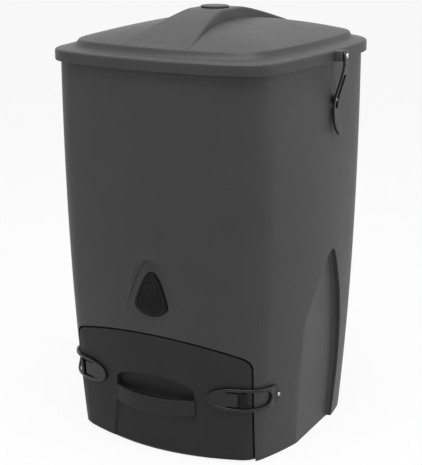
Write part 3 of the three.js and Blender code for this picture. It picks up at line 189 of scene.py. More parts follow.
def spline(points, count):
    """A smooth curve through points."""
    curve = []
    for t in run(count, 0, len(points) - 1):
        i = min(int(t), len(points) - 2)
        f = t - i
        before, a = points[max(i - 1, 0)], points[i]
        b, after = points[i + 1], points[min(i + 2, len(points) - 1)]
        curve.append(
            0.5 * (2 * a + (b - before) * f + (2 * before - 5 * a + 4 * b - after) * f * f
                   + (3 * a - before - 3 * b + after) * f ** 3)
        )
    return curve


# Plan of the tub, from the middle of the front round the right to the middle of the back

FRONT_STEPS, FRONT_CORNER_STEPS, SIDE_STEPS, BACK_CORNER_STEPS, BACK_STEPS = 18, 10, 20, 12, 10


@lru_cache(maxsize=4000)
def half_plan(z, inset=0.0, rim_cut=FRONT_CUT):
    drop = max(0.0, 1 - z / RIM_Z)
    side_in = SIDE_TAPER * drop ** SIDE_POWER + inset
    end_in = END_TAPER * drop ** END_POWER + inset
    bow = END_BOW + END_BOW_GAIN * drop
    bulge = SIDE_BULGE + SIDE_BULGE_GAIN * drop
    front = Vector((RIM_FRONT + CORNER_FLARE * drop - side_in, end_in - RIM_DEPTH))
    back = Vector((RIM_BACK - side_in, RIM_DEPTH - end_in))
    outward = Vector((back.y - front.y, front.x - back.x)).normalized()

    def front_edge(s):
        return Vector((front.x * s, front.y - bow * (1 - s * s)))

    def side_edge(s):
        return front.lerp(back, s) + outward * (bulge * 4 * s * (1 - s))

    def back_edge(s):
        return Vector((back.x * s, back.y + bow * (1 - s * s)))

    near = max(rim_cut - FRONT_CUT_LOSS * drop - inset, LEAST_CUT)
    far = max(BACK_CUT - inset, LEAST_CUT)
    length = (back - front).length
    front_end, side_start = 1 - near / front.x, near / length
    side_end, back_start = 1 - far / length, 1 - far / back.x
    points = [front_edge(s) for s in run(FRONT_STEPS, 0, front_end)][:-1]
    points += bend(front_edge(front_end), front, side_edge(side_start), FRONT_CORNER_STEPS)
    points += [side_edge(s) for s in run(SIDE_STEPS, side_start, side_end)][1:-1]
    points += bend(side_edge(side_end), back, back_edge(back_start), BACK_CORNER_STEPS)
    points += [back_edge(s) for s in run(BACK_STEPS, back_start, 0)][1:]
    return points


def closed_plan(z, inset=0.0, rim_cut=FRONT_CUT):
    return mirrored_across(half_plan(z, inset, rim_cut))


def crossing(path, value, axis, first, lengths=None):
    """A path's other coordinate where it reaches a value on an axis, or its length up to there."""
    i = next((n for n in range(first, len(path)) if path[n][axis] >= value), len(path) - 1)
    a, b = path[i - 1], path[i]
    share = (value - a[axis]) / (b[axis] - a[axis])
    if lengths:
        return mix(lengths[i - 1], lengths[i], share)
    return mix(a[1 - axis], b[1 - axis], share)


def front_y(x, z):
    """Where the front wall's face lies at a place on it."""
    return crossing(half_plan(z), abs(x), 0, 1)


def side_x(y, z):
    """How far out the right wall's face lies at a place on it."""
    return crossing(half_plan(z), y, 1, FRONT_STEPS + FRONT_CORNER_STEPS // 2)


def on_front(x, z, depth):
    return Vector((x, front_y(x, z) + depth, z))


def on_side(side):
    return lambda y, z, depth: Vector((side * (side_x(y, z) - depth), y, z))


# Meshes

def new_object(name, data):
    thing = bpy.data.objects.new(name, data)
    bpy.context.scene.collection.objects.link(thing)
    return thing


def make(points, faces):
    """An object from points and faces, with its faces turned outward."""
    mesh = bpy.data.meshes.new("shape")
    mesh.from_pydata([tuple(p) for p in points], [], faces)
    shape = bmesh.new()
    shape.from_mesh(mesh)
    bmesh.ops.recalc_face_normals(shape, faces=shape.faces)
    shape.to_mesh(mesh)
    shape.free()
    return new_object("shape", mesh)


def ring_faces(rings, start=0):
    count = len(rings[0])
    faces = []
    for r in range(len(rings) - 1):
        for i in range(count):
            a, b = start + r * count + i, start + r * count + (i + 1) % count
            faces.append((a, b, b + count, a + count))
    return faces


def cap(outline, start, place, fresh, across):
    """Closes a ring whose second half mirrors its first, with a grid that follows a face."""
    half = len(outline) // 2
    points, rows = [], [[start]]
    for i in range(1, half):
        inner = [outline[i].lerp(outline[-i], share) for share in run(across)[1:-1]]
        first = fresh + len(points)
        rows.append([start + i] + list(range(first, first + len(inner))) + [start + len(outline) - i])
        points += [place(p) for p in inner]
    rows.append([start + half])
    faces = []
    for low, high in zip(rows, rows[1:]):
        for k in range(across):
            corners = [low[min(n, len(low) - 1)] for n in (k, k + 1)]
            corners += [high[min(n, len(high) - 1)] for n in (k + 1, k)]
            faces.append(tuple(dict.fromkeys(corners)))
    return points, faces


def ring_solid(rings, ends=None, across=1):
    """A closed solid through rings; `ends` gives each end's outline and the face that it lies on."""
    points = [p for ring in rings for p in ring]
    faces = ring_faces(rings)
    last = (len(rings) - 1) * len(rings[0])
    if ends is None:
        faces += [tuple(range(len(rings[0]))), tuple(range(last, last + len(rings[0])))]
    else:
        for start, (outline, place) in zip((0, last), ends):
            more, closing = cap(outline, start, place, len(points), across)
            points += more
            faces += closing
    return make(points, faces)


def stack(plans):
    """A solid through (height, plan) pairs, flat at both ends."""
    ends = [(plan, lambda p, z=z: Vector((p.x, p.y, z))) for z, plan in (plans[0], plans[-1])]
    return ring_solid([[Vector((p.x, p.y, z)) for p in plan] for z, plan in plans], ends)


def turned(profile, facets, at, axis):
    """A solid turned from (radius, height) points about an axis; both ends lie on it."""
    turn = Vector((0, 0, 1)).rotation_difference(Vector(axis)).to_matrix()
    points, faces, rows = [], [], []
    for radius, height in profile:
        if radius == 0:
            rows.append([len(points)] * facets)
            points.append(Vector(at) + turn @ Vector((0, 0, height)))
            continue
        rows.append(list(range(len(points), len(points) + facets)))
        for i in range(facets):
            angle = tau * i / facets
            spot = Vector((radius * cos(angle), radius * sin(angle), height))
            points.append(Vector(at) + turn @ spot)
    for low, high in zip(rows, rows[1:]):
        for i in range(facets):
            j = (i + 1) % facets
            face = tuple(dict.fromkeys((low[i], low[j], high[j], high[i])))
            if len(face) > 2:
                faces.append(face)
    return make(points, faces)


def block(low, high):
    corners = ((low[0], low[1]), (high[0], low[1]), (high[0], high[1]), (low[0], high[1]))
    return ring_solid([[Vector((x, y, z)) for x, y in corners] for z in (low[2], high[2])])


def settle(thing):
    """Applies a thing's modifiers to its mesh."""
    graph = bpy.context.evaluated_depsgraph_get()
    mesh = bpy.data.meshes.new_from_object(thing.evaluated_get(graph))
    thing.modifiers.clear()
    old, thing.data = thing.data, mesh
    bpy.data.meshes.remove(old)
    return thing


def combine(thing, how, *tools):
    """Joins, cuts or intersects a thing with tools, which are used up."""
    for tool in tools:
        change = thing.modifiers.new(how, "BOOLEAN")
        change.operation, change.solver, change.object = how, "EXACT", tool
        settle(thing)
        mesh = tool.data
        bpy.data.objects.remove(tool)
        bpy.data.meshes.remove(mesh)
    return thing


def join(thing, *tools):
    return combine(thing, "UNION", *tools)


def cut(thing, *tools):
    return combine(thing, "DIFFERENCE", *tools)


def round_edges(thing, width, segments=3, angle=40):
    edge = thing.modifiers.new("edges", "BEVEL")
    edge.width, edge.segments, edge.limit_method = width, segments, "ANGLE"
    edge.angle_limit, edge.use_clamp_overlap = radians(angle), True
    return settle(thing)


def smooth(thing, angle=38):
    for face in thing.data.polygons:
        face.use_smooth = True
    thing.data.set_sharp_from_angle(angle=radians(angle))
    return thing


def lip_profile(radius):
    """Outward offset and depth down a rounded lip, to the wall."""
    curve = quarter(radius, LIP_STEPS, LIP_TILT, 0)
    return [(curve[0][0], -FAR)] + curve


def recess(outline, place, floor, lip, fillet):
    """The tool for a recess: a rounded lip, straight walls and a floor with rounded corners."""
    rings = []
    for grow, depth in lip_profile(lip):
        rings.append([place(p.x, p.y, min(depth, floor(p) - fillet)) for p in outline(grow)])
    for shrink, rise in quarter(fillet, FILLET_STEPS)[1:]:
        rings.append([place(p.x, p.y, floor(p) - rise) for p in outline(-shrink)])
    mouth = (outline(lip_profile(lip)[0][0]), lambda p: place(p.x, p.y, -FAR))
    bottom = (outline(-fillet), lambda p: place(p.x, p.y, floor(p)))
    return ring_solid(rings, [mouth, bottom], RECESS_GRID)


def arch(half_foot, half_top, foot, shoulder, crown, corner):
    """A function from growth to an outline with a straight foot and sides and an arched top."""
    def outline(grow):
        low, top, low_z = half_foot + grow, half_top + grow, foot - grow
        knee_z, crown_z = shoulder + grow, crown + grow
        rise = crown_z - knee_z
        radius = (top * top + rise * rise) / (2 * rise)

        def crown_at(x):
            return crown_z - radius + sqrt(radius * radius - x * x)

        bend_z, bend_x = knee_z - corner, top - corner
        side = mix(low, top, (bend_z - low_z) / (knee_z - low_z))
        right = [Vector((low * s, low_z)) for s in run(8)]
        right += [Vector((mix(low, side, s), mix(low_z, bend_z, s))) for s in run(12)][1:-1]
        right += bend(Vector((side, bend_z)), Vector((top, knee_z)), Vector((bend_x, crown_at(bend_x))), 8)
        right += [Vector((bend_x * s, crown_at(bend_x * s))) for s in run(12, 1, 0)][1:]
        return mirrored_across(right)

    return outline


def prism(outline, near, far):
    return ring_solid([[Vector((p.x, y, p.y)) for p in outline] for y in (near, far)])


# Recesses in the tub

hatch_outline = arch(*HATCH_HALVES, HATCH_FOOT_Z, *HATCH_HEAD)
opening_outline = arch(*HATCH_HALVES, -FAR, *HATCH_HEAD)
vent_outline = arch(ARCH_FOOT_HALF, ARCH_TOP_HALF, ARCH_FOOT, ARCH_SHOULDER, ARCH_CROWN, ARCH_CORNER)


def vent_floor_y(z):
    share = (z - ARCH_FOOT) / (ARCH_CROWN - ARCH_FOOT)
    return front_y(0, z) + mix(ARCH_FOOT_DEPTH, ARCH_TOP_DEPTH, share)


def vent_floor(p):
    return vent_floor_y(p.y) - front_y(p.x, p.y)


def scoop_outline(grow):
    front, back, top = SCOOP_FRONT - grow, SCOOP_BACK + grow, SCOOP_TOP + grow
    points = [Vector((mix(front, SCOOP_TOP_Y, y), z * top)) for y, z in SCOOP_FRONT_SHARES]
    points += [Vector((mix(SCOOP_TOP_Y, back, y), z * top)) for y, z in SCOOP_BACK_SHARES]
    curve = spline(points, 70)
    return curve + [Vector((curve[-1].x, -FAR)), Vector((curve[0].x, -FAR))]


def scoop_floor(p):
    foot_x = side_x(SCOOP_MIDDLE, 0) - SCOOP_FOOT_DEPTH
    head_x = side_x(SCOOP_MIDDLE, SCOOP_TOP) - SCOOP_HEAD_DEPTH
    rise = p.y / SCOOP_TOP
    floor_x = mix(foot_x, head_x, rise) - SCOOP_TURN * rise * (p.x - SCOOP_MIDDLE)
    return side_x(p.x, max(p.y, 0)) - floor_x


def grown(outline, by):
    return lambda grow: outline(grow + by)


def sunk(floor, by):
    return lambda p: floor(p) + by


def recess_tools(deeper):
    """Tools for the vent recess and both scoops, or for the same one wall deeper."""
    lip, fillet = VENT_ROUND
    outline, floor = grown(vent_outline, deeper - VENT_DRAW), sunk(vent_floor, deeper)
    tools = [recess(outline, on_front, floor, lip + deeper, fillet)]
    lip, fillet = SCOOP_ROUND
    outline, floor = grown(scoop_outline, deeper), sunk(scoop_floor, deeper)
    return tools + [recess(outline, on_side(side), floor, lip + deeper, fillet) for side in (1, -1)]


def walled(inset, low, high, edge=0.0, count=34):
    """A solid that follows the wall between two heights, with its edges drawn in."""
    levels = [(z, inset) for z in run(count, low + edge, high - edge)]
    if edge:
        levels = [(low, inset + edge)] + levels + [(high, inset + edge)]
    return stack([(z, closed_plan(z, inset)) for z, inset in levels])


def rod(radius, length, at, axis, facets=40):
    return turned([(0, 0), (radius, 0), (radius, length), (0, length)], facets, at, axis)


# Plates: flat pieces with rounded edges, laid along a curved face

def offset(outline, distance):
    """An outline moved in by a distance, its corners kept."""
    moved = []
    for i, p in enumerate(outline):
        before, after = outline[i - 1], outline[(i + 1) % len(outline)]
        a, b = (p - before).normalized(), (after - p).normalized()
        inward_a, inward_b = Vector((-a.y, a.x)), Vector((-b.y, b.x))
        middle = (inward_a + inward_b).normalized()
        moved.append(p + middle * (distance / max(LEAST_MITRE, middle.dot(inward_a))))
    return moved


def slice_at(shape, spot, normal, merge, **options):
    everything = shape.verts[:] + shape.edges[:] + shape.faces[:]
    bmesh.ops.bisect_plane(shape, geom=everything, plane_co=spot, plane_no=normal, dist=merge, **options)


def plate(loops, heights, place, clip=None):
    """A plate inside the first loop, less the others, between two heights out from the face.

    `clip` is a place along it and the way, 1 or -1, past which it is cut off square.
    """
    bottom, top, rounding = heights
    levels = [(bottom, PLATE_BACK), (bottom + PLATE_BACK, 0)]
    levels += [(top - down, inward) for inward, down in quarter(rounding, 4)]
    points, faces, rims = [], [], ([], [])
    for n, loop in enumerate(loops):
        area = sum(a.x * b.y - b.x * a.y for a, b in zip(loop, loop[1:] + loop[:1]))
        loop = loop if (area > 0) == (n == 0) else loop[::-1]
        rings = [[Vector((p.x, p.y, out)) for p in offset(loop, inset)] for out, inset in levels]
        faces += ring_faces(rings, len(points))
        rims[0].append((len(points), rings[0]))
        rims[1].append((len(points) + (len(rings) - 1) * len(loop), rings[-1]))
        points += [p for ring in rings for p in ring]
    for rim in rims:
        numbers = [start + i for start, ring in rim for i in range(len(ring))]
        flat = [[Vector((p.x, p.y, 0)) for p in ring] for start, ring in rim]
        faces += [tuple(numbers[i] for i in face) for face in tessellate_polygon(flat)]
    thing = make(points, faces)
    shape = bmesh.new()
    shape.from_mesh(thing.data)
    if clip:
        slice_at(shape, (clip[0], 0, 0), (clip[1], 0, 0), CLIP_MERGE, clear_outer=True)
        bmesh.ops.holes_fill(shape, edges=[e for e in shape.edges if len(e.link_faces) == 1], sides=0)
    for axis in (0, 1):
        values = [v.co[axis] for v in shape.verts]
        count = max(1, round((max(values) - min(values)) / PLATE_PITCH))
        for at in run(count, min(values), max(values))[1:-1]:
            spot, normal = [0, 0, 0], [0, 0, 0]
            spot[axis], normal[axis] = at, 1
            slice_at(shape, spot, normal, TINY)
    for vert in shape.verts:
        vert.co = place(vert.co.x, vert.co.y, vert.co.z)
    bmesh.ops.recalc_face_normals(shape, faces=shape.faces)
    shape.to_mesh(thing.data)
    shape.free()
    return thing


def arc(middle, radius, start, end, count):
    turns = run(count, start, end)
    return [Vector((middle[0] + radius * cos(t), middle[1] + radius * sin(t))) for t in turns]


def rounded_box(low, high, radius):
    """A rectangle with rounded corners, anticlockwise."""
    left, right = low[0] + radius, high[0] - radius
    foot, top = low[1] + radius, high[1] - radius
    points = []
    for turn, middle in enumerate(((right, foot), (right, top), (left, top), (left, foot)), -1):
        points += arc(middle, radius, turn * pi / 2, (turn + 1) * pi / 2, 5)
    return points


# Tub

def hinge_pad():
    """The block under the hinge's lower leaf, sloped in at its foot."""
    low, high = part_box("hinge_tub_leaf")
    face_x, foot = high.x + FIT, low.z - HINGE_LEAF
    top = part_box("hinge_lid_leaf")[0].z - HINGE_LEAF
    corners = [(face_x, top), (face_x, foot), (-RIM_FRONT, foot - HINGE_PAD_SLOPE), (-RIM_FRONT, top)]
    return prism([Vector(c) for c in corners], -HINGE_PAD_HALF, HINGE_PAD_HALF)


def post(radius, reach, at, axis):
    """A round pad on a wall, with a soft edge."""
    profile = [(0, 0), (radius, 0), (radius, reach - PAD_EDGE), (radius - PAD_EDGE, reach), (0, reach)]
    return turned(profile, 48, at, axis)


def tub_shell():
    body = walled(0, 0, TUB_TOP, edge=TUB_EDGE)
    low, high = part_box("lid_strap_keeper")
    join(body, hinge_pad(), post(STRAP_PAD, low.x - FIT, (0, STRAP_Y, (low.z + high.z) / 2), (1, 0, 0)))
    low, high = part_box("drain_outlet")
    drain_z = (low.z + high.z) / 2
    drain_reach = half_plan(drain_z)[-1].y + DRAIN_PAD_RISE
    join(body, post(DRAIN_PAD, drain_reach, (0, 0, drain_z), (0, 1, 0)))
    cut(body, *recess_tools(0), cover_groove())
    hollow = walled(SHELL_WALL, -FAR, TUB_TOP + FAR)
    cut(hollow, *recess_tools(SHELL_WALL))
    cut(body, hollow)
    cut(body, prism(opening_outline(0), -RIM_DEPTH - END_BOW - FAR, -FRAME_DEPTH))
    cut(body, rod(VENT_BORE, 1, (0, -1, VENT_Z), (0, 1, 0)))
    cut(body, rod(DRAIN_BORE, 1, (0, 0, drain_z), (0, 1, 0)))
    return smooth(body, 30)


# Hatch

pocket_outline = arch(POCKET_HALF, POCKET_HALF, POCKET_FOOT, POCKET_SHOULDER, POCKET_CROWN, POCKET_CORNER)


def pocket_floor(p):
    return mix(POCKET_BACK, POCKET_EDGE, (p.y - POCKET_FOOT) / (POCKET_CROWN - POCKET_FOOT))


def channel_outline(grow):
    top, foot, head = (size + grow for size in CHANNEL_HALVES_AND_TOP)
    right = [Vector((foot * s, -FAR)) for s in run(10)]
    right += [Vector((mix(foot, top, s), mix(-FAR, head, s))) for s in run(14)][1:]
    right += [Vector((top * s, head)) for s in run(10, 1, 0)][1:]
    return mirrored_across(right)


def on_frame(p):
    return Vector((p.x, -FRAME_DEPTH, p.y))


def hatch_shell():
    body = walled(0, HATCH_FOOT_Z, HATCH_CROWN + FAR, count=20)
    cut(body, walled(HATCH_SKIN, 0, HATCH_CROWN + 2 * FAR, count=20))
    lip, rear_edge = lip_profile(HATCH_LIP), hatch_outline(-HATCH_GAP)
    rings = []
    for shrink, depth in lip:
        rings.append([on_front(p.x, p.y, depth) for p in hatch_outline(-HATCH_GAP - shrink)])
    rings.append([on_frame(p) for p in rear_edge])
    outer = (hatch_outline(-HATCH_GAP - lip[0][0]), lambda p: on_front(p.x, p.y, -FAR))
    combine(body, "INTERSECT", ring_solid(rings, [outer, (rear_edge, on_frame)], HATCH_GRID))
    cut(body, recess(channel_outline, on_front, lambda p: CHANNEL_DEPTH, *CHANNEL_ROUND))
    outline, floor = grown(pocket_outline, POCKET_WALL), sunk(pocket_floor, POCKET_WALL)
    bowl = recess(outline, on_front, floor, *BOWL_ROUND)
    combine(bowl, "INTERSECT", walled(HATCH_SKIN / 2, 0, HATCH_CROWN, count=20))
    join(body, bowl)
    cut(body, recess(pocket_outline, on_front, pocket_floor, *POCKET_ROUND))
    return smooth(body)


def rounded_lip(middle, thick, top, count):
    """(depth, height) over the half-round top of an upright lip."""
    radius = thick / 2
    return [(middle - radius * cos(t), top - radius + radius * sin(t)) for t in run(count, 0, pi)]


def grip_profile():
    """(depth, height) round the bar: a front lip, a groove and a thinner rear lip."""
    back, middle, front = GRIP_CORNERS
    profile = [(GRIP_WALL, GRIP_FOOT + back), (GRIP_WALL - back, GRIP_FOOT), (front, GRIP_FOOT)]
    profile += [(middle, GRIP_FOOT + middle), (0, GRIP_FOOT + front)]
    profile += [(0, z) for z in run(8, GRIP_FOOT + GRIP_WALL, GRIP_TOP - GRIP_WALL)]
    profile += rounded_lip(GRIP_LIP / 2, GRIP_LIP, GRIP_TOP, 6)
    profile += [(GRIP_LIP, GRIP_TOP - GRIP_GROOVE), (GRIP_WALL - GRIP_REAR_LIP, GRIP_TOP - GRIP_GROOVE)]
    rear_middle = GRIP_WALL - GRIP_REAR_LIP / 2
    return profile + rounded_lip(rear_middle, GRIP_REAR_LIP, GRIP_TOP - GRIP_REAR_DROP, 5)


def grip_bar():
    """A bar bowed out over the pocket, a rib behind it and an end at each side."""
    near, far = POCKET_HALF - GRIP_WALL, POCKET_HALF - FIT
    profile, rings = grip_profile(), []
    for x in run(56, -GRIP_HALF, GRIP_HALF):
        swell = GRIP_BULGE * max(0.0, 1 - (x / near) ** 2)
        rings.append([on_front(x, z, -FIT - swell - GRIP_WALL + depth) for depth, z in profile])
    bar = ring_solid(rings)
    foot, top = GRIP_TOP - RIB_FOOT, GRIP_TOP - RIB_TOP
    corners, rings = [(-RIB_THICK, foot), (0, foot), (0, top), (-RIB_THICK, top)], []
    for x in run(40, -near - RIB_LAP, near + RIB_LAP):
        rings.append([on_front(x, z, depth - FIT) for depth, z in corners])
    join(bar, ring_solid(rings))
    for side in (1, -1):
        rings = []
        for z in run(6, GRIP_FOOT + END_FOOT, top):
            rear = pocket_floor(Vector((0, z))) - 2 * FIT
            corners = [(near, -END_NEAR), (far, -END_FAR), (far, rear), (near, rear)]
            rings.append([on_front(side * x, z, depth - FIT) for x, depth in corners])
        join(bar, ring_solid(rings))
    return smooth(round_edges(bar, GRIP_EDGE, 2, 60), 45)


# Latches

def latch_path():
    """The wall's plan at the latches, the outward way at each point and the lengths up to it."""
    path = half_plan(LATCH_Z, -LATCH_STANDOFF)
    normals, lengths = [], [0]
    for i, p in enumerate(path):
        along = path[min(len(path) - 1, i + 1)] - path[max(0, i - 1)]
        normals.append(Vector((along.y, -along.x)).normalized())
        if i:
            lengths.append(lengths[-1] + (p - path[i - 1]).length)
    return path, normals, lengths


LATCH_PATH, LATCH_NORMALS, LATCH_LENGTHS = latch_path()


def latch_along(value, axis):
    """How far along the path a place on the front or the side is."""
    first = FRONT_STEPS + FRONT_CORNER_STEPS - 1 if axis else 1
    return crossing(LATCH_PATH, value, axis, first, LATCH_LENGTHS)


LATCH_TIP, LATCH_WEB = latch_along(LATCH_TIP_X, 0), latch_along(LATCH_WEB_X, 0)
LATCH_SCREW = latch_along(LATCH_SCREW_Y, 1)
LATCH_AXIS = LATCH_SCREW - LATCH_NECK
LATCH_NOSE = LATCH_NOSE_SHARE * (LATCH_AXIS - LATCH_TIP)
LATCH_FLAT = LATCH_TIP + LATCH_NOSE


def latch_place(side):
    """A function from (along, up, out) on a latch to a place."""
    def place(along, up, out):
        i = min(max(bisect_left(LATCH_LENGTHS, along), 1), len(LATCH_LENGTHS) - 1)
        share = (along - LATCH_LENGTHS[i - 1]) / (LATCH_LENGTHS[i] - LATCH_LENGTHS[i - 1])
        path = half_plan(round(LATCH_Z + up, 5), -LATCH_STANDOFF)
        p = path[i - 1].lerp(path[i], share)
        p = p + LATCH_NORMALS[i - 1].lerp(LATCH_NORMALS[i], share).normalized() * out
        return Vector((side * p.x, p.y, LATCH_Z + up))

    return place


def latch_half(along):
    share = (along - LATCH_TIP) / (LATCH_AXIS - LATCH_TIP)
    if share < LATCH_NOSE_SHARE:
        return LATCH_HALF * sqrt(max(0, 1 - (1 - share / LATCH_NOSE_SHARE) ** 2))
    if share < LATCH_FLAT_SHARE:
        return LATCH_HALF
    turn = (1 - cos(pi * (share - LATCH_FLAT_SHARE) / (1 - LATCH_FLAT_SHARE))) / 2
    return mix(LATCH_HALF, LATCH_NECK_HALF, turn)


def mirrored_loop(upper):
    """A closed outline from its upper half."""
    return upper + [Vector((p.x, -p.y)) for p in reversed(upper) if p.y > TINY]


def nose_shares(count):
    """Places from a nose's tip to its end, close together at the tip."""
    return [1 - cos(t) for t in run(count, 0, pi / 2)]


def latch_loops():
    """The outline of a latch with its eye, and the inner edge of its raised rail."""
    turns = run(TURN_STEPS, 0, pi / 2)
    middle, reach = LATCH_SCREW - EYE_SETBACK, EYE_SETBACK + EYE_END
    spots = [LATCH_TIP + LATCH_NOSE * s for s in nose_shares(22)] + run(20, LATCH_FLAT, LATCH_AXIS)[1:]
    outer = [Vector((a, latch_half(a))) for a in spots]
    outer += [Vector((middle + reach * sin(t), LATCH_NECK_HALF * cos(t))) for t in turns]
    start, length = LATCH_AXIS - EYE_CURVE, EYE_CURVE + EYE_WINDOW
    long, wide = LATCH_NOSE - LATCH_RAIL, LATCH_HALF - LATCH_RAIL
    inner = [Vector((LATCH_FLAT - long * cos(t), wide * sin(t))) for t in turns]
    inner += [Vector((a, latch_half(a) - LATCH_RAIL)) for a in run(16, LATCH_FLAT, start)[1:]]
    half = latch_half(start) - LATCH_RAIL
    inner += [Vector((start + length * sin(t), half * cos(t))) for t in turns[1:]]
    return [mirrored_loop(outer), mirrored_loop(inner)]


def latch_leaf():
    """The outline of the flat leaf between the rails and of its tongue."""
    root, end, corner = LATCH_TIP + TONGUE_ROOT, LATCH_WEB - TONGUE_CORNER, TONGUE_HALF - TONGUE_CORNER
    long, wide = LATCH_NOSE - LATCH_RAIL + LEAF_LAP, LATCH_HALF - LATCH_RAIL + LEAF_LAP
    turns = run(TURN_STEPS, 0, acos((LATCH_FLAT - root) / long))
    upper = [Vector((LATCH_FLAT - long * cos(t), wide * sin(t))) for t in turns]
    upper += [Vector((a, TONGUE_HALF)) for a in run(6, root + TONGUE_START, end)]
    upper += arc((end, corner), TONGUE_CORNER, pi / 2, 0, 4)[1:]
    return mirrored_loop(upper + [Vector((LATCH_WEB, 0))])


def latch_loop(side):
    lay = latch_place(side)
    body = plate(latch_loops(), LATCH_PLATE, lay, clip=(LATCH_AXIS, 1))
    return smooth(join(body, plate([latch_leaf()], LEAF_PLATE, lay)), 50)


def latch_eye(side):
    """The eye comes from the loop down to the wall."""
    lay = latch_place(side)

    def place(along, up, out):
        return lay(along, up, out - (LATCH_STANDOFF - FIT) * ease((along - LATCH_AXIS) / EYE_EASE))

    body = plate(latch_loops(), LATCH_PLATE, place, clip=(LATCH_AXIS + FIT, -1))
    collar = arc((LATCH_SCREW, 0), EYE_COLLAR, 0, tau, 32)[:-1]
    return smooth(join(body, plate([collar], COLLAR_PLATE, place)), 50)


def latch_keeper(side):
    start = LATCH_WEB + KEEPER_GAP
    outline = rounded_box((start, -KEEPER_HALF), (start + KEEPER_WIDTH, KEEPER_HALF), KEEPER_CORNER)
    return smooth(plate([outline], KEEPER_PLATE, latch_place(side)), 50)


# Screws

def screw(seat, outward, head=SCREW_HEAD, length=SCREW_LENGTH):
    """A domed head with a crossed recess, on a shank."""
    profile = [(0, -length), (SCREW_SHANK, -length), (SCREW_SHANK, 0)]
    profile += [(head - SCREW_EDGE, 0), (head, SCREW_EDGE)]
    for t in run(8, pi / 2, 0)[:-1]:
        profile.append((head * sin(t), SCREW_RISE * (DOME_START + (1 - DOME_START) * cos(t))))
    thing = turned(profile + [(0, SCREW_RISE)], 40, (0, 0, 0), (0, 0, 1))
    arm, slim, floor = head * CROSS_REACH, head * CROSS_HALF, SCREW_RISE * CROSS_FLOOR
    for x, y in ((arm, slim), (slim, arm)):
        cut(thing, block((-x, -y, floor), (x, y, 1)))
    turn = Vector((0, 0, 1)).rotation_difference(Vector(outward)).to_matrix().to_4x4()
    thing.data.transform(Matrix.Translation(seat) @ turn)
    return smooth(thing, 40)


def latch_screw(side):
    place = latch_place(side)
    seat = place(LATCH_SCREW, 0, LATCH_THICK - LATCH_STANDOFF + LATCH_SCREW_LIFT)
    return screw(seat, (seat - place(LATCH_SCREW, 0, 0)).normalized(), LATCH_HEAD)


# Vent cover

def cover_outline(grow):
    half, foot, top = VENT_HALF + grow, VENT_FOOT - grow, VENT_TOP + grow
    return mirrored_across(spline([Vector((x * half, mix(foot, top, z))) for x, z in VENT_SHARES], 40))


def cover_place(x, z, out):
    return Vector((x, vent_floor_y(z) - FIT - out, z))


def cover_groove():
    """The tool for the groove round the vent cover."""
    outline = cover_outline(VENT_GROOVE)
    ends = [(outline, lambda p, out=out: cover_place(p.x, p.y, out)) for out in (GROOVE_OUT, GROOVE_IN)]
    return ring_solid([[place(p) for p in outline] for outline, place in ends], ends, COVER_GRID)


def vent_cover():
    """A plate with a raised ring, a low dome and bowed louvres below it."""
    cover = plate([cover_outline(0)], COVER_PLATE, cover_place)
    ring = [cover_outline(-RING_OUTER), cover_outline(-RING_INNER)]
    join(cover, plate(ring, RING_PLATE, cover_place))
    for n in range(LOUVRES):
        middle = VENT_FOOT + LOUVRE_FOOT + n * LOUVRE_PITCH
        half = LOUVRE_HALF - LOUVRE_LOSS * n
        low = [Vector((half * s, middle + LOUVRE_BOW * s * s)) for s in run(12, -1, 1)]
        louvre = low + [p + Vector((0, LOUVRE_WIDE)) for p in reversed(low)]
        join(cover, plate([louvre], LOUVRE_PLATE, cover_place))
    turns = run(32, 0, tau)[:-1]
    dome = [Vector((DOME_WIDE * cos(t), DOME_Z + DOME_TALL * sin(t))) for t in turns]
    join(cover, plate([dome], DOME_PLATE, cover_place))
    return smooth(cover, 30)


# Lid

def lid_levels(drop):
    """(height, inset, corner cut) up the lid's edge, shelf and step."""
    rise = [(RIM_Z, OVERHANG - LID_EDGE), (RIM_Z + LID_EDGE, OVERHANG)]
    if drop:
        rise = [(RIM_Z - FAR, OVERHANG)]
    rise += [(z, OVERHANG) for z in run(3, RIM_Z + SKIRT_START, RIM_TOP - LID_ROUND)]
    rise += [(RIM_TOP - down, OVERHANG - inward) for inward, down in quarter(LID_ROUND, 5)[1:]]
    levels = [(z, -out, FRONT_CUT) for z, out in rise]
    start, shelf = (RIM_TOP, LID_ROUND - OVERHANG, FRONT_CUT), (RIM_TOP + SHELF_FALL, SHELF_INSET, SHELF_CUT)
    levels += [tuple(mix(a, b, share) for a, b in zip(start, shelf)) for share in run(3)[1:]]
    top = (PLATEAU, PLATEAU_INSET, PLATEAU_CUT)
    for p in spline([Vector(share) for share in STEP_SHARES], 24)[1:]:
        levels.append(tuple(mix(a, b, share) for a, b, share in zip(shelf, top, (p.y, p.x, p.x))))
    return levels


def lid_form(drop):
    """The lid's outer form, or the same form `drop` further in."""
    levels = lid_levels(drop)
    plans = [(z - drop, closed_plan(RIM_Z, inset + drop, corner)) for z, inset, corner in levels]
    plateau = closed_plan(RIM_Z, PLATEAU_INSET + drop, PLATEAU_CUT)
    for share in run(LOBE_STEPS, 1, LOBE_END)[1:]:
        plans.append((PLATEAU + LOBE_RISE * (1 - share * share) - drop, [p * share for p in plateau]))
    return join(stack(plans), spine(drop))


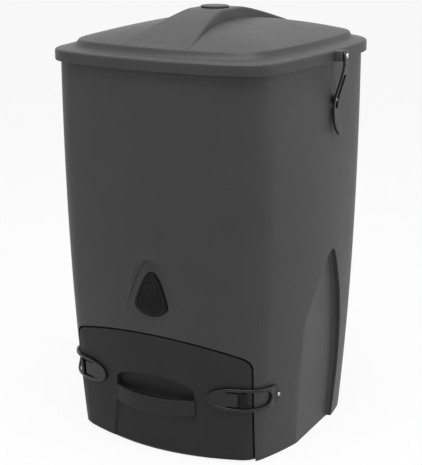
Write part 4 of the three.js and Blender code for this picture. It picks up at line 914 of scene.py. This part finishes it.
def spine(drop):
    """The raised spine across the lid, highest and narrowest in the middle."""
    reach, rings = SPINE_REACH - drop, []
    for y in run(SPINE_STEPS, -reach, reach):
        along = max(0.0, (abs(y) - SPINE_FLAT) / (SPINE_REACH - SPINE_FLAT))
        half = mix(SPINE_TOP_HALF, SPINE_FOOT_HALF, along ** SPINE_WIDTH_POWER) - drop
        top = PLATEAU + SPINE_RISE * (1 - along ** SPINE_HEIGHT_POWER) - drop
        foot = RIM_TOP - drop
        low = Vector((half + SPINE_RUN * SPINE_EDGE / (top - foot), top - SPINE_EDGE))
        right = [Vector((half + SPINE_RUN, foot))]
        right += bend(low, Vector((half, top)), Vector((half - SPINE_EDGE, top)), 6)
        rings.append([Vector((p.x, y, p.y)) for p in right + [Vector((-p.x, p.y)) for p in reversed(right)]])
    return ring_solid(rings)


def lid_shell():
    body = lid_form(0)
    top, y, half = RIM_TOP - BOSS_DROP, STRAP_Y, STRAP_BOSS_HALF
    eye_x, leaf_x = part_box("lid_strap_eye")[0].x - FIT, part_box("hinge_lid_leaf")[1].x + FIT
    foot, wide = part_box("lid_outer_shell")[0].z + HINGE_LEAF, HINGE_PAD_HALF
    for low, high in (((RIM_FRONT, y - half, RIM_Z + FIT), (eye_x, y + half, top)),
                      ((leaf_x, -wide, foot), (-RIM_FRONT, wide, top))):
        join(body, round_edges(block(low, high), BOSS_EDGE))
    cut(body, lid_form(LID_WALL), rod(SLEEVE, 0.3, (0, 0, RIM_Z - FAR), (0, 0, 1), 48))
    return smooth(body, 34)


def exhaust_cap():
    """A low disc with a ring groove in its top and a hollow stem below."""
    face = SLEEVE - STEM_GAP - 2 * FIT
    profile = [(0, 0), (face - STEM_WALL, 0), (face - STEM_WALL, -STEM_LENGTH), (face, -STEM_LENGTH)]
    profile += [(face, 0), (CAP_RADIUS - CAP_FOOT, 0), (CAP_RADIUS, CAP_FOOT)]
    profile += [(CAP_RADIUS - inward, CAP_RISE - down) for inward, down in quarter(CAP_EDGE, 4)]
    half, flat, depth = CAP_GROOVE
    profile += [(SLEEVE + half, CAP_RISE), (SLEEVE + flat, CAP_RISE - depth)]
    profile += [(SLEEVE - flat, CAP_RISE - depth), (SLEEVE - half, CAP_RISE)]
    seat = (0, 0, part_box("exhaust_vent_cap")[1].z - CAP_RISE)
    return smooth(turned(profile + [(0, CAP_RISE)], 72, seat, (0, 0, 1)), 50)


# Strap

STRAP_LOW_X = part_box("lid_strap_keeper")[0].x - FIT + STRAP_STANDOFF
STRAP_EYE_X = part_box("lid_strap_eye")[0].x


def strap_x(z):
    """How far out the strap's inner face lies."""
    share = ease((z - STRAP_SLOT_FOOT) / (STRAP_NECK_Z - STRAP_SLOT_FOOT))
    below = max(0.0, (STRAP_SLOT_FOOT - z) / (STRAP_SLOT_FOOT - STRAP_END))
    return mix(STRAP_LOW_X, STRAP_EYE_X, share) + STRAP_FLARE * below * below


def strap_place(z, across, out):
    slope = (strap_x(z + FIT) - strap_x(z - FIT)) / (2 * FIT)
    outward = Vector((1, 0, -slope)).normalized()
    return Vector((strap_x(z), STRAP_Y + across, z)) + outward * out


def strap_half(z):
    neck = clamp((STRAP_NECK_Z - z) / (STRAP_NECK_Z - STRAP_SLOT_TOP))
    nose = max(0.0, 1 - (z - STRAP_END) / STRAP_NOSE)
    return mix(STRAP_NECK_HALF, STRAP_HALF, neck) * sqrt(max(0, 1 - nose * nose))


def lid_strap():
    slot_half = STRAP_HALF - STRAP_RAIL
    spots = [STRAP_END + STRAP_NOSE * s for s in nose_shares(16)]
    spots += run(24, STRAP_END + STRAP_NOSE, STRAP_NECK_Z)[1:]
    outer = mirrored_loop([Vector((z, strap_half(z))) for z in spots])
    top = STRAP_SLOT_TOP - slot_half
    slot = [Vector((z, slot_half)) for z in run(12, STRAP_SLOT_FOOT, top)]
    slot += arc((top, 0), slot_half, pi / 2, 0, 6)[1:]
    return smooth(plate([outer, mirrored_loop(slot)], STRAP_PLATE, strap_place), 50)


def strap_eye():
    def place(y, z, out):
        return Vector((STRAP_EYE_X + out, STRAP_Y + y, z))

    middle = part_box("lid_strap_eye")[1].z - STRAP_EYE
    angle = asin(STRAP_NECK_HALF / STRAP_EYE)
    outline = [Vector((x, STRAP_NECK_Z + FIT)) for x in (-STRAP_NECK_HALF, STRAP_NECK_HALF)]
    outline += arc((0, middle), STRAP_EYE, angle - pi / 2, 1.5 * pi - angle, 30)
    return smooth(plate([outline], STRAP_PLATE, place), 50)


def strap_keeper():
    """A post on a flange, bored at its end for the screw's head."""
    low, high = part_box("lid_strap_keeper")
    rise, radius, pad = high.x - low.x, POST_RADIUS, STRAP_PAD - FIT
    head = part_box("lid_strap_keeper_screw")
    seat = rise - SCREW_RISE - FIT
    bore = (head[1].y - head[0].y) / 2 + FIT
    profile = [(0, 0), (pad - FLANGE_STEP, 0), (pad, FLANGE_EDGE), (pad, FLANGE - FLANGE_EDGE)]
    profile += [(STRAP_PAD - POST_EDGE, FLANGE), (radius + POST_EDGE, FLANGE)]
    profile += [(radius, FLANGE + POST_EDGE), (radius, rise - POST_EDGE), (radius - POST_SOFT, rise)]
    profile += [(bore, rise), (bore, seat), (0, seat)]
    middle = (low.x, STRAP_Y, (low.z + high.z) / 2)
    return smooth(turned(profile, 48, middle, (1, 0, 0)), 40)


def box_screw(node, outward, head=SCREW_HEAD, length=SCREW_LENGTH):
    """Dresses a CAD screw with one whose head is at the far end of its box."""
    low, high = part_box(node)
    middle, outward = (low + high) / 2, Vector(outward)
    reach = abs(((high if sum(outward) > 0 else low) - middle).dot(outward))
    dress(screw(middle + outward * (reach - SCREW_RISE), outward, head, length), node)


# Finishes: noise is spread over the part of its range that it mostly keeps to

NOISE_LOW, NOISE_HIGH = 0.3, 0.7


def feed(tree, node, inputs):
    """Sets a node's inputs, or links the sockets among them."""
    for label, value in inputs.items():
        if isinstance(value, bpy.types.NodeSocket):
            tree.links.new(value, node.inputs[label])
        else:
            node.inputs[label].default_value = value
    return node


def add_node(tree, kind, inputs):
    return feed(tree, tree.nodes.new("ShaderNode" + kind), inputs)


def new_material(name):
    material = bpy.data.materials.new(name)
    material.use_nodes = True
    tree = material.node_tree
    return material, tree, tree.nodes["Principled BSDF"]


def own_coords(tree):
    return add_node(tree, "TexCoord", {}).outputs["Object"]


def noise(tree, coords, scale, detail=3.0):
    return add_node(tree, "TexNoise", {"Vector": coords, "Scale": scale, "Detail": detail}).outputs["Fac"]


def spread(tree, value, low, high):
    limits = {"From Min": NOISE_LOW, "From Max": NOISE_HIGH, "To Min": low, "To Max": high}
    return add_node(tree, "MapRange", {"Value": value, **limits}).outputs["Result"]


def bumps(tree, layers):
    """A normal from bump layers of (height, strength, distance)."""
    below = {}
    for height, strength, distance in layers:
        bump = add_node(tree, "Bump", {"Height": height, "Strength": strength, "Distance": distance, **below})
        below = {"Normal": bump.outputs["Normal"]}
    return bump.outputs["Normal"]


def tint(tree, value, dark, light):
    """A colour that runs between two greys with a value."""
    ramp = tree.nodes.new("ShaderNodeMix")
    ramp.data_type = "RGBA"
    return feed(tree, ramp, {"A": grey(dark), "B": grey(light), "Factor": value}).outputs["Result"]


def grey(level):
    """A linear grey from an sRGB level out of 255."""
    share = level / 255
    linear = share / 12.92 if share <= 0.04045 else ((share + 0.055) / 1.055) ** 2.4
    return (linear, linear, linear, 1)


def plastic(name, level, roughness, sheen=0.25, grain=900, grain_depth=0.00012, vary=1.5):
    """Moulded plastic: fine grain, slow waves, faint blotches and a roughness that drifts."""
    material, tree, shader = new_material(name)
    coords = own_coords(tree)
    blotches = spread(tree, noise(tree, coords, 9, 4), 0, 1)
    waves, grains = noise(tree, coords, 5, 1), noise(tree, coords, grain, 2)
    feed(tree, shader, {
        "Base Color": tint(tree, blotches, level - vary, level + vary),
        "Specular IOR Level": sheen,
        "Roughness": spread(tree, noise(tree, coords, 22, 5), roughness - 0.02, roughness + 0.02),
        "Normal": bumps(tree, [(waves, 0.04, 0.004), (grains, 0.35, grain_depth)]),
    })
    return material


def metal(name, level, roughness):
    """Finely brushed steel."""
    material, tree, shader = new_material(name)
    coords = own_coords(tree)
    cloud = spread(tree, noise(tree, coords, 60), 0, 1)
    stretched = add_node(tree, "Mapping", {"Vector": coords, "Scale": (1, 0.06, 1)}).outputs["Vector"]
    streaks = noise(tree, stretched, 700, 2)
    feed(tree, shader, {
        "Metallic": 1,
        "Base Color": tint(tree, cloud, level - 12, level + 10),
        "Roughness": spread(tree, streaks, roughness - 0.06, roughness + 0.08),
        "Normal": bumps(tree, [(streaks, 0.25, 0.00005)]),
    })
    return material


def foamed(name, level):
    """Cut foam: open beads."""
    material, tree, shader = new_material(name)
    cells = add_node(tree, "TexVoronoi", {"Vector": own_coords(tree), "Scale": 260}).outputs["Distance"]
    feed(tree, shader, {
        "Base Color": tint(tree, cells, level, level - 25),
        "Roughness": 0.95,
        "Normal": bumps(tree, [(cells, 0.6, 0.0008)]),
    })
    return material


FINISHES = {
    "bin_plastic": plastic("bin plastic", 60, 0.45, sheen=0.2),
    "hatch_plastic": plastic("hatch plastic", 46, 0.5, sheen=0.1),
    "liner_plastic": plastic("liner plastic", 88, 0.5),
    "black_plastic": plastic("black plastic", 14, 0.3, sheen=0.15, grain=1200, grain_depth=0.00008, vary=2),
    "rubber": plastic("rubber", 18, 0.24, sheen=0.35, grain=1600, grain_depth=0.0001, vary=2),
    "foam": foamed("foam", 205),
    "steel": metal("steel", 200, 0.28),
}
SLOTS = {part["node"]: part["material_slot"] for part in frame["record"]["subparts"]}
BODIES = {node: body for body, nodes in frame["record"]["behaviour"]["bodies"].items() for node in nodes}


def finish(thing, node):
    thing.data.materials.clear()
    thing.data.materials.append(FINISHES[SLOTS[node]])


def dress(thing, node):
    """Puts a piece in a CAD node's place, on its body and with its slot's finish."""
    thing.name = node + "_look"
    finish(thing, node)
    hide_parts(node)
    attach(thing, BODIES[node])


for node, build in {
    "tub_outer_shell": tub_shell, "intake_vent_cover": vent_cover, "hatch_outer_shell": hatch_shell,
    "hatch_handle": grip_bar, "lid_outer_shell": lid_shell, "exhaust_vent_cap": exhaust_cap,
}.items():
    dress(build(), node)
for name, side in (("right", 1), ("left", -1)):
    dress(latch_loop(side), "hatch_latch_loop_" + name)
    dress(latch_eye(side), "hatch_latch_eye_" + name)
    dress(latch_keeper(side), "hatch_keeper_" + name)
    dress(latch_screw(side), "hatch_latch_screw_" + name)
dress(lid_strap(), "lid_strap")
dress(strap_eye(), "lid_strap_eye")
dress(strap_keeper(), "lid_strap_keeper")
box_screw("lid_strap_eye_screw", (1, 0, 0))
box_screw("lid_strap_keeper_screw", (1, 0, 0), POST_HEAD)
for n in (1, 2):
    for leaf in ("tub", "lid"):
        box_screw(f"hinge_{leaf}_screw_{n}", (-1, 0, 0), HINGE_HEAD, HINGE_LENGTH)

for name, node in frame["nodes"].items():
    if not node.hide_render:
        finish(node, name)


# Floor, light and camera

FLOOR, FLOOR_SINK, FLOOR_SHARE, FLOOR_GREY, FLOOR_ROUGHNESS = 40, 0.0005, 0.9, 0.9, 0.9
AMBIENT, LAMP_TARGET = 0.35, Vector((0, 0, 0.5))
AZIMUTH, ELEVATION, DISTANCE = radians(28.473), radians(16.497), 3.1966
TARGET, SENSOR, LENS, SHIFT = Vector((0, 0.019, 0.4905)), 36, 91.86, (-0.0162, 0.0037)
WHITE = (1, 1, 1, 1)


def lamp(name, place, width, height, power):
    light = bpy.data.lights.new(name, "AREA")
    light.shape, light.size, light.size_y, light.energy = "RECTANGLE", width, height, power
    thing = new_object(name, light)
    thing.location = place
    thing.rotation_euler = (LAMP_TARGET - Vector(place)).to_track_quat("-Z", "Y").to_euler()


def white_to(tree, shade, white, strength):
    """Mixes towards white for the rays that see it straight or by a reflection."""
    path = tree.nodes.new("ShaderNodeLightPath").outputs
    total = path["Is Camera Ray"]
    for ray in ("Is Glossy Ray", "Is Transmission Ray"):
        add = add_node(tree, "Math", {0: total, 1: path[ray]})
        add.operation, add.use_clamp = "ADD", True
        total = add.outputs[0]
    scaled = add_node(tree, "Math", {0: total, 1: strength})
    scaled.operation = "MULTIPLY"
    return add_node(tree, "MixShader", {0: scaled.outputs[0], 1: shade, 2: white}).outputs["Shader"]


scene = bpy.context.scene
scene.view_settings.view_transform = "Standard"

scene.world = bpy.data.worlds.new("studio")
scene.world.use_nodes = True
tree = scene.world.node_tree
ambient = feed(tree, tree.nodes["Background"], {"Color": WHITE, "Strength": AMBIENT})
plain = add_node(tree, "Background", {"Color": WHITE, "Strength": 1})
mixed = white_to(tree, ambient.outputs[0], plain.outputs[0], 1)
feed(tree, tree.nodes["World Output"], {"Surface": mixed})

corners = [(-FLOOR, -FLOOR, 0), (FLOOR, -FLOOR, 0), (FLOOR, FLOOR, 0), (-FLOOR, FLOOR, 0)]
floor = make(corners, [(0, 1, 2, 3)])
floor.name = "floor"
floor.location.z = -FLOOR_SINK
pale, tree, shader = new_material("floor")
feed(tree, shader, {"Base Color": (FLOOR_GREY, FLOOR_GREY, FLOOR_GREY, 1), "Roughness": FLOOR_ROUGHNESS})
bright = add_node(tree, "Emission", {})
seen = white_to(tree, shader.outputs["BSDF"], bright.outputs["Emission"], FLOOR_SHARE)
feed(tree, tree.nodes["Material Output"], {"Surface": seen})
floor.data.materials.append(pale)

lamp("overhead", (0.2, -0.6, 3.2), 2.2, 2.2, 84)
lamp("right", (3.4, 0.4, 1.9), 1.6, 2.6, 42)
lamp("front", (-0.6, -3.4, 2.4), 2.4, 2.2, 13)

camera_data = bpy.data.cameras.new("camera")
camera = new_object("camera", camera_data)
scene.camera = camera
level = cos(ELEVATION)
back = Vector((sin(AZIMUTH) * level, -cos(AZIMUTH) * level, sin(ELEVATION)))
camera.location = TARGET + back * DISTANCE
camera.rotation_mode = "QUATERNION"
camera.rotation_quaternion = (-back).to_track_quat("-Z", "Y")
camera_data.sensor_width, camera_data.lens = SENSOR, LENS
camera_data.shift_x, camera_data.shift_y = SHIFT
